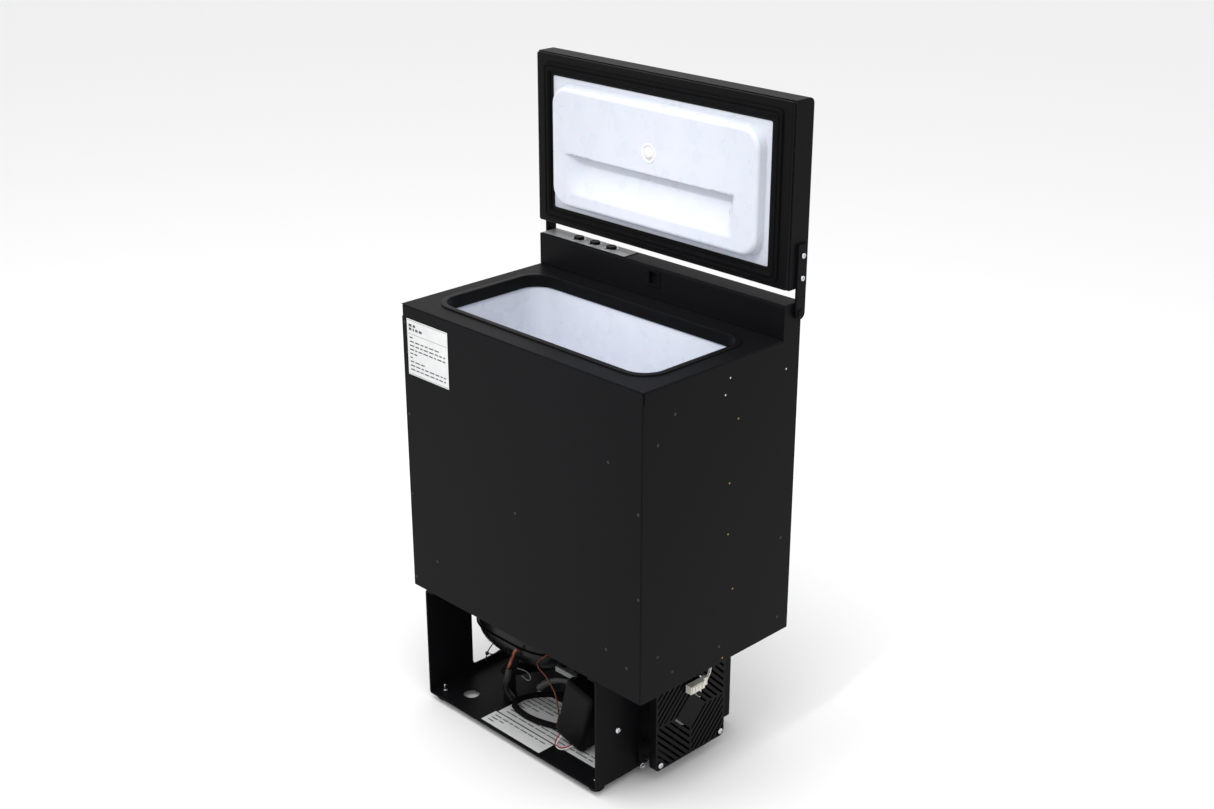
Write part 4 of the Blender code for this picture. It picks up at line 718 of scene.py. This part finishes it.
# %% Print the labels
def bars(bm, corner, along, up, lift, lines, height, seed):
    """Rows of short ink bars on a flat sheet, of word-like lengths that a formula gives."""
    along, up, lift = Vector(along), Vector(up), Vector(lift)
    length = along.length
    for line in range(lines):
        reach = 0.03
        word = 0
        while reach < 0.94:
            step = 0.05 + 0.07 * abs(math.sin(seed + 3.7 * line + 2.3 * word))
            end = min(reach + step, 0.96)
            base = Vector(corner) + up * ((line + 0.7) / (lines + 0.6))
            thick = up.normalized() * height
            points = [base + along * reach, base + along * end, base + along * end + thick,
                      base + along * reach + thick]
            skin(bm, [points, [p + lift for p in points]])
            reach = end + 2.2 / length
            word += 1
            if abs(math.sin(seed + 1.9 * line + word)) > 0.965:
                break
    return bm


label_low, label_high = cabinet_box("rating_label")
label_w, label_h = label_high.x - label_low.x, label_high.z - label_low.z
ink = bmesh.new()
bars(ink, (label_low.x + 2, label_low.y, label_low.z + 3), (label_w - 4, 0, 0), (0, 0, label_h - 22),
     (0, -0.04, 0), 9, 1.6, 1.3)
bars(ink, (label_low.x + 2, label_low.y, label_high.z - 17), (label_w * 0.62, 0, 0), (0, 0, 12),
     (0, -0.04, 0), 2, 3.2, 4.1)
for z in (label_low.z + 1.2, label_high.z - 18.5, label_high.z - 1.6):
    block(ink, (label_low.x + 1.2, label_low.y - 0.04, z), (label_high.x - 1.2, label_low.y, z + 0.4))
make("rating_label_print", ink, EXTRA["printing_ink"], "cabinet", CABINET)

SHEETS = (((-83.0, 4.5), (24.0, 29.0), 3), ((-80.5, 31.0), (93.5, 101.0), 9))
for number, (low, high, lines) in enumerate(SHEETS, 1):
    paper = block(bmesh.new(), (low[0], low[1], TRAY_FLOOR + 0.05), (high[0], high[1], TRAY_FLOOR + 0.25))
    make(f"tray_data_sheet_{number}", paper, film, "cabinet", CABINET)
    ink = bars(bmesh.new(), (low[0] + 3, low[1] + 1.5, TRAY_FLOOR + 0.25), (high[0] - low[0] - 6, 0, 0),
               (0, high[1] - low[1] - 3, 0), (0, 0, 0.05), lines, 1.7, 0.7 * number)
    make(f"tray_data_print_{number}", ink, EXTRA["printing_ink"], "cabinet", CABINET)

# %% [markdown]
# ## Buttons
# The three buttons stand in bright rings on the grey strip, with small printed marks beside them.

# %% Button rings and marks
strip_high = cabinet_box("control_strip")[1]
BUTTON_X = (-144.0, -115.5, -87.0)
BUTTON_Y = 237.5
rings = bmesh.new()
for x in BUTTON_X:
    loops = []
    for r, h in ((7.1, 0.05), (8.4, 0.05), (8.4, 0.35), (7.9, 0.8), (7.4, 0.8), (7.1, 0.5)):
        loops.append([(x + a, BUTTON_Y + b, strip_high.z + h) for a, b in arc((0, 0), r, 0, 352.5, 47)])
    skin(rings, loops, ring=True)
make("button_rings", rings, zinc, "cabinet", CABINET)

marks = bmesh.new()
for x in BUTTON_X:
    block(marks, (x + 9.6, 232.0, strip_high.z), (x + 10.6, 243.0, strip_high.z + 0.05))
    block(marks, (x - 5, 225.6, strip_high.z), (x + 5, 226.6, strip_high.z + 0.05))
make("control_marks", marks, EXTRA["white_ink"], "cabinet", CABINET)

for i, x in enumerate(BUTTON_X, 1):
    button_top = (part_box(f"button_{i}")[1].z - BOTTOM) / MM
    dish = [(5.9, 0.0), (5.9, 0.25), (5.4, 0.4), (4.6, 0.15), (2.4, 0.06), (0.0, 0.04)]
    make(f"button_{i}_dish", turned(bmesh.new(), dish, (x, BUTTON_Y, button_top), "Z", 1, 40), abs_black,
         f"button_{i}", CABINET)
print("buttons", len(BUTTON_X))

# %% [markdown]
# ## Inside the compressor bay
# Nuts hold the feet, wires leave the electronic unit, a spacer sits beside the fan, and a nylon
# connector is pushed between fan and cabinet. These small pieces make the bay read as a machine.


# %% Nuts, spacer and connector
def hex_nut(bm, x, y, z, flats=5.5, height=2.4):
    reach = flats / math.sqrt(3)
    rows = [[(x + r * math.cos(math.radians(60 * k)), y + r * math.sin(math.radians(60 * k)), z + h)
             for k in range(6)] for r, h in ((reach * 0.93, 0), (reach, 0.3), (reach, height - 0.3),
                                             (reach * 0.9, height))]
    skin(bm, rows)
    turned(bm, [(1.62, height), (1.62, 9.8), (1.2, 10.3)], (x, y, z), "Z", 1, 16)


nuts = bmesh.new()
for name in ("foot_front_left", "foot_front_right", "foot_rear_left", "foot_rear_right"):
    low, high = cabinet_box(name)
    hex_nut(nuts, (low.x + high.x) / 2, (low.y + high.y) / 2, TRAY_FLOOR + 0.1)
make("foot_nuts", nuts, zinc, "cabinet", CABINET)

tray_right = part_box("base_tray")[1].x / MM
spacer = [(3.2, 0.2), (3.4, 0.5), (3.4, 7.0), (2.2, 7.3), (2.2, 9.5), (1.6, 10.0)]
make("fan_spacer", turned(bmesh.new(), spacer, (tray_right, 70.0, -143.0), "X", 1, 24), zinc, "cabinet",
     CABINET)

plug = bmesh.new()
block(plug, (161.5, 116.0, -50.0), (170.0, 140.0, -40.0))
for i in range(4):
    block(plug, (170.0, 117.5 + 5.8 * i, -49.0), (171.2, 121.0 + 5.8 * i, -41.0))
block(plug, (163.0, 140.0, -48.5), (168.5, 146.0, -38.5))
make("fan_connector", plug, EXTRA["natural_nylon"], "cabinet", CABINET)


# %% Wires and tubes
def wire(name, points, radius_mm, finish):
    """A round wire on a smooth line through its points, given from the cabinet's corner."""
    curve = bpy.data.curves.new(name, "CURVE")
    curve.dimensions = "3D"
    curve.bevel_depth = radius_mm * MM
    curve.bevel_resolution = 4
    curve.use_fill_caps = True
    curve.resolution_u = 10
    line = curve.splines.new("BEZIER")
    line.bezier_points.add(len(points) - 1)
    for knot, point in zip(line.bezier_points, points):
        knot.co = spot(*point)
        knot.handle_left_type = knot.handle_right_type = "AUTO"
    curve.materials.append(finish)
    obj = bpy.data.objects.new(name, curve)
    bpy.context.scene.collection.objects.link(obj)
    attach(obj, "cabinet")
    return obj


wire("unit_wire_red", [(33, 49, -120), (24, 40, -136), (23, 33, -145.6), (30, 29, -146.4), (38, 31, -146.0),
                       (44, 40, -144)], 0.8, EXTRA["red_pvc_sleeve"])
wire("unit_wire_white", [(35, 48, -122), (28, 38, -138), (27, 31, -145.8), (34, 27, -146.4), (42, 29, -145.4),
                         (47, 40, -143)], 0.8, EXTRA["white_pvc_sleeve"])
wire("bay_wire_black_1", [(-134, 112, -128), (-150, 103.5, -118.5), (-150, 92, -100), (-150, 73.5, -110.6),
                          (-146, 68, -118)], 0.75, EXTRA["black_pvc_sleeve"])
wire("bay_wire_black_2", [(-150, 73.5, -110.0), (-150, 83, -116), (-150, 102, -116), (-138, 114, -122)], 0.75,
     EXTRA["black_pvc_sleeve"])
wire("bay_clip_wire", [(-64, 50, -86), (-44, 50, -84.5), (-40, 50, -88), (-42, 50, -94), (-56, 50, -93.5)], 0.6,
     EXTRA["grey_bracket_plastic"])
wire("stub_sleeve", [(-75, 46.5, -88), (-79, 47, -103), (-88, 50, -124), (-84, 58, -143)], 4.6,
     EXTRA["black_pvc_sleeve"])
wire("return_sleeve", [(-33, 58, -104), (-20, 60, -92), (2, 60, -78), (24, 62, -72), (46, 66, -63)], 4.2,
     EXTRA["black_pvc_sleeve"])
tie = turned(bmesh.new(), [(1.8, 0.0), (2.4, 0.6), (2.4, 3.4), (1.8, 4.0)], (-150, 73.5, -112.5), "Z", 1, 16)
make("bay_wire_tie", tie, EXTRA["black_pvc_sleeve"], "cabinet", CABINET)
for letter, offset in (("a", 0.0), ("b", 2.2)):
    wire(f"fan_wire_{letter}",
         [(165 + offset, 146, -44), (166 + offset, 152, -30), (163 + offset, 150, -12), (158 + offset, 146, -3)],
         0.8, EXTRA["white_pvc_sleeve"])
clip = block(bmesh.new(), (8.6, 48, -57.5), (44, 52, -51))
make("loom_clip", clip, EXTRA["grey_bracket_plastic"], "cabinet", CABINET)
print("bay details in place")

# %% [markdown]
# ## Studio
# A white table and a bright, even room, with one large soft light above and one from the left, so
# that faces turned to the right are darker. A narrow light from above brightens the tub.
# Black coated steel shows its shape only by what it reflects, so the lights are broad.

# %% Floor, lights and camera
floor_mesh = bpy.data.meshes.new("floor")
floor_mesh.from_pydata([(-6, -6, 0), (6, -6, 0), (6, 6, 0), (-6, 6, 0)], [], [(0, 1, 2, 3)])
floor = bpy.data.objects.new("floor", floor_mesh)
bpy.context.scene.collection.objects.link(floor)
table, tree, shader, place = start_finish("pale_table", "#f4f4f4", 0.9, specular=0.1)
floor_mesh.materials.append(table)

bpy.context.scene.view_settings.view_transform = "Standard"
world = bpy.data.worlds.new("studio")
bpy.context.scene.world = world
world.use_nodes = True
sky = world.node_tree.nodes["Background"]
sky.inputs["Color"].default_value = (1, 1, 1, 1)
sky.inputs["Strength"].default_value = 0.95


def softbox(name, place, target, size, watts):
    data = bpy.data.lights.new(name, "AREA")
    data.shape = "RECTANGLE"
    data.size, data.size_y = size
    data.energy = watts
    light = bpy.data.objects.new(name, data)
    light.location = place
    light.rotation_euler = (Vector(target) - Vector(place)).to_track_quat("-Z", "Y").to_euler()
    bpy.context.scene.collection.objects.link(light)


softbox("overhead", (0.2, -0.5, 2.4), (0, 0, 0.3), (1.6, 1.6), 30)
softbox("left_key", (-1.9, -1.9, 1.8), (0, 0, 0.5), (1.0, 1.2), 4)

spot_data = bpy.data.lights.new("tub_light", "SPOT")
spot_data.energy = 85
spot_data.spot_size = math.radians(17)
spot_data.spot_blend = 0.8
spot_data.shadow_soft_size = 0.12
tub_light = bpy.data.objects.new("tub_light", spot_data)
tub_light.location = (0.25, FACE - 0.75, 1.80)
tub_middle = spot(0, 150, (TOP - BOTTOM) / MM - 40)
tub_light.rotation_euler = (tub_middle - tub_light.location).to_track_quat("-Z", "Y").to_euler()
bpy.context.scene.collection.objects.link(tub_light)

camera_data = bpy.data.cameras.new("camera")
camera_data.lens = 50.5
camera_data.sensor_width = 36
camera = bpy.data.objects.new("camera", camera_data)
camera.location = (1.3306, FACE - 1.165, BOTTOM + 1.0295)
camera.rotation_euler = (math.radians(67.66), 0, math.radians(45.46))
bpy.context.scene.collection.objects.link(camera)
bpy.context.scene.camera = camera

# %% Update the scene
bpy.context.view_layer.update()
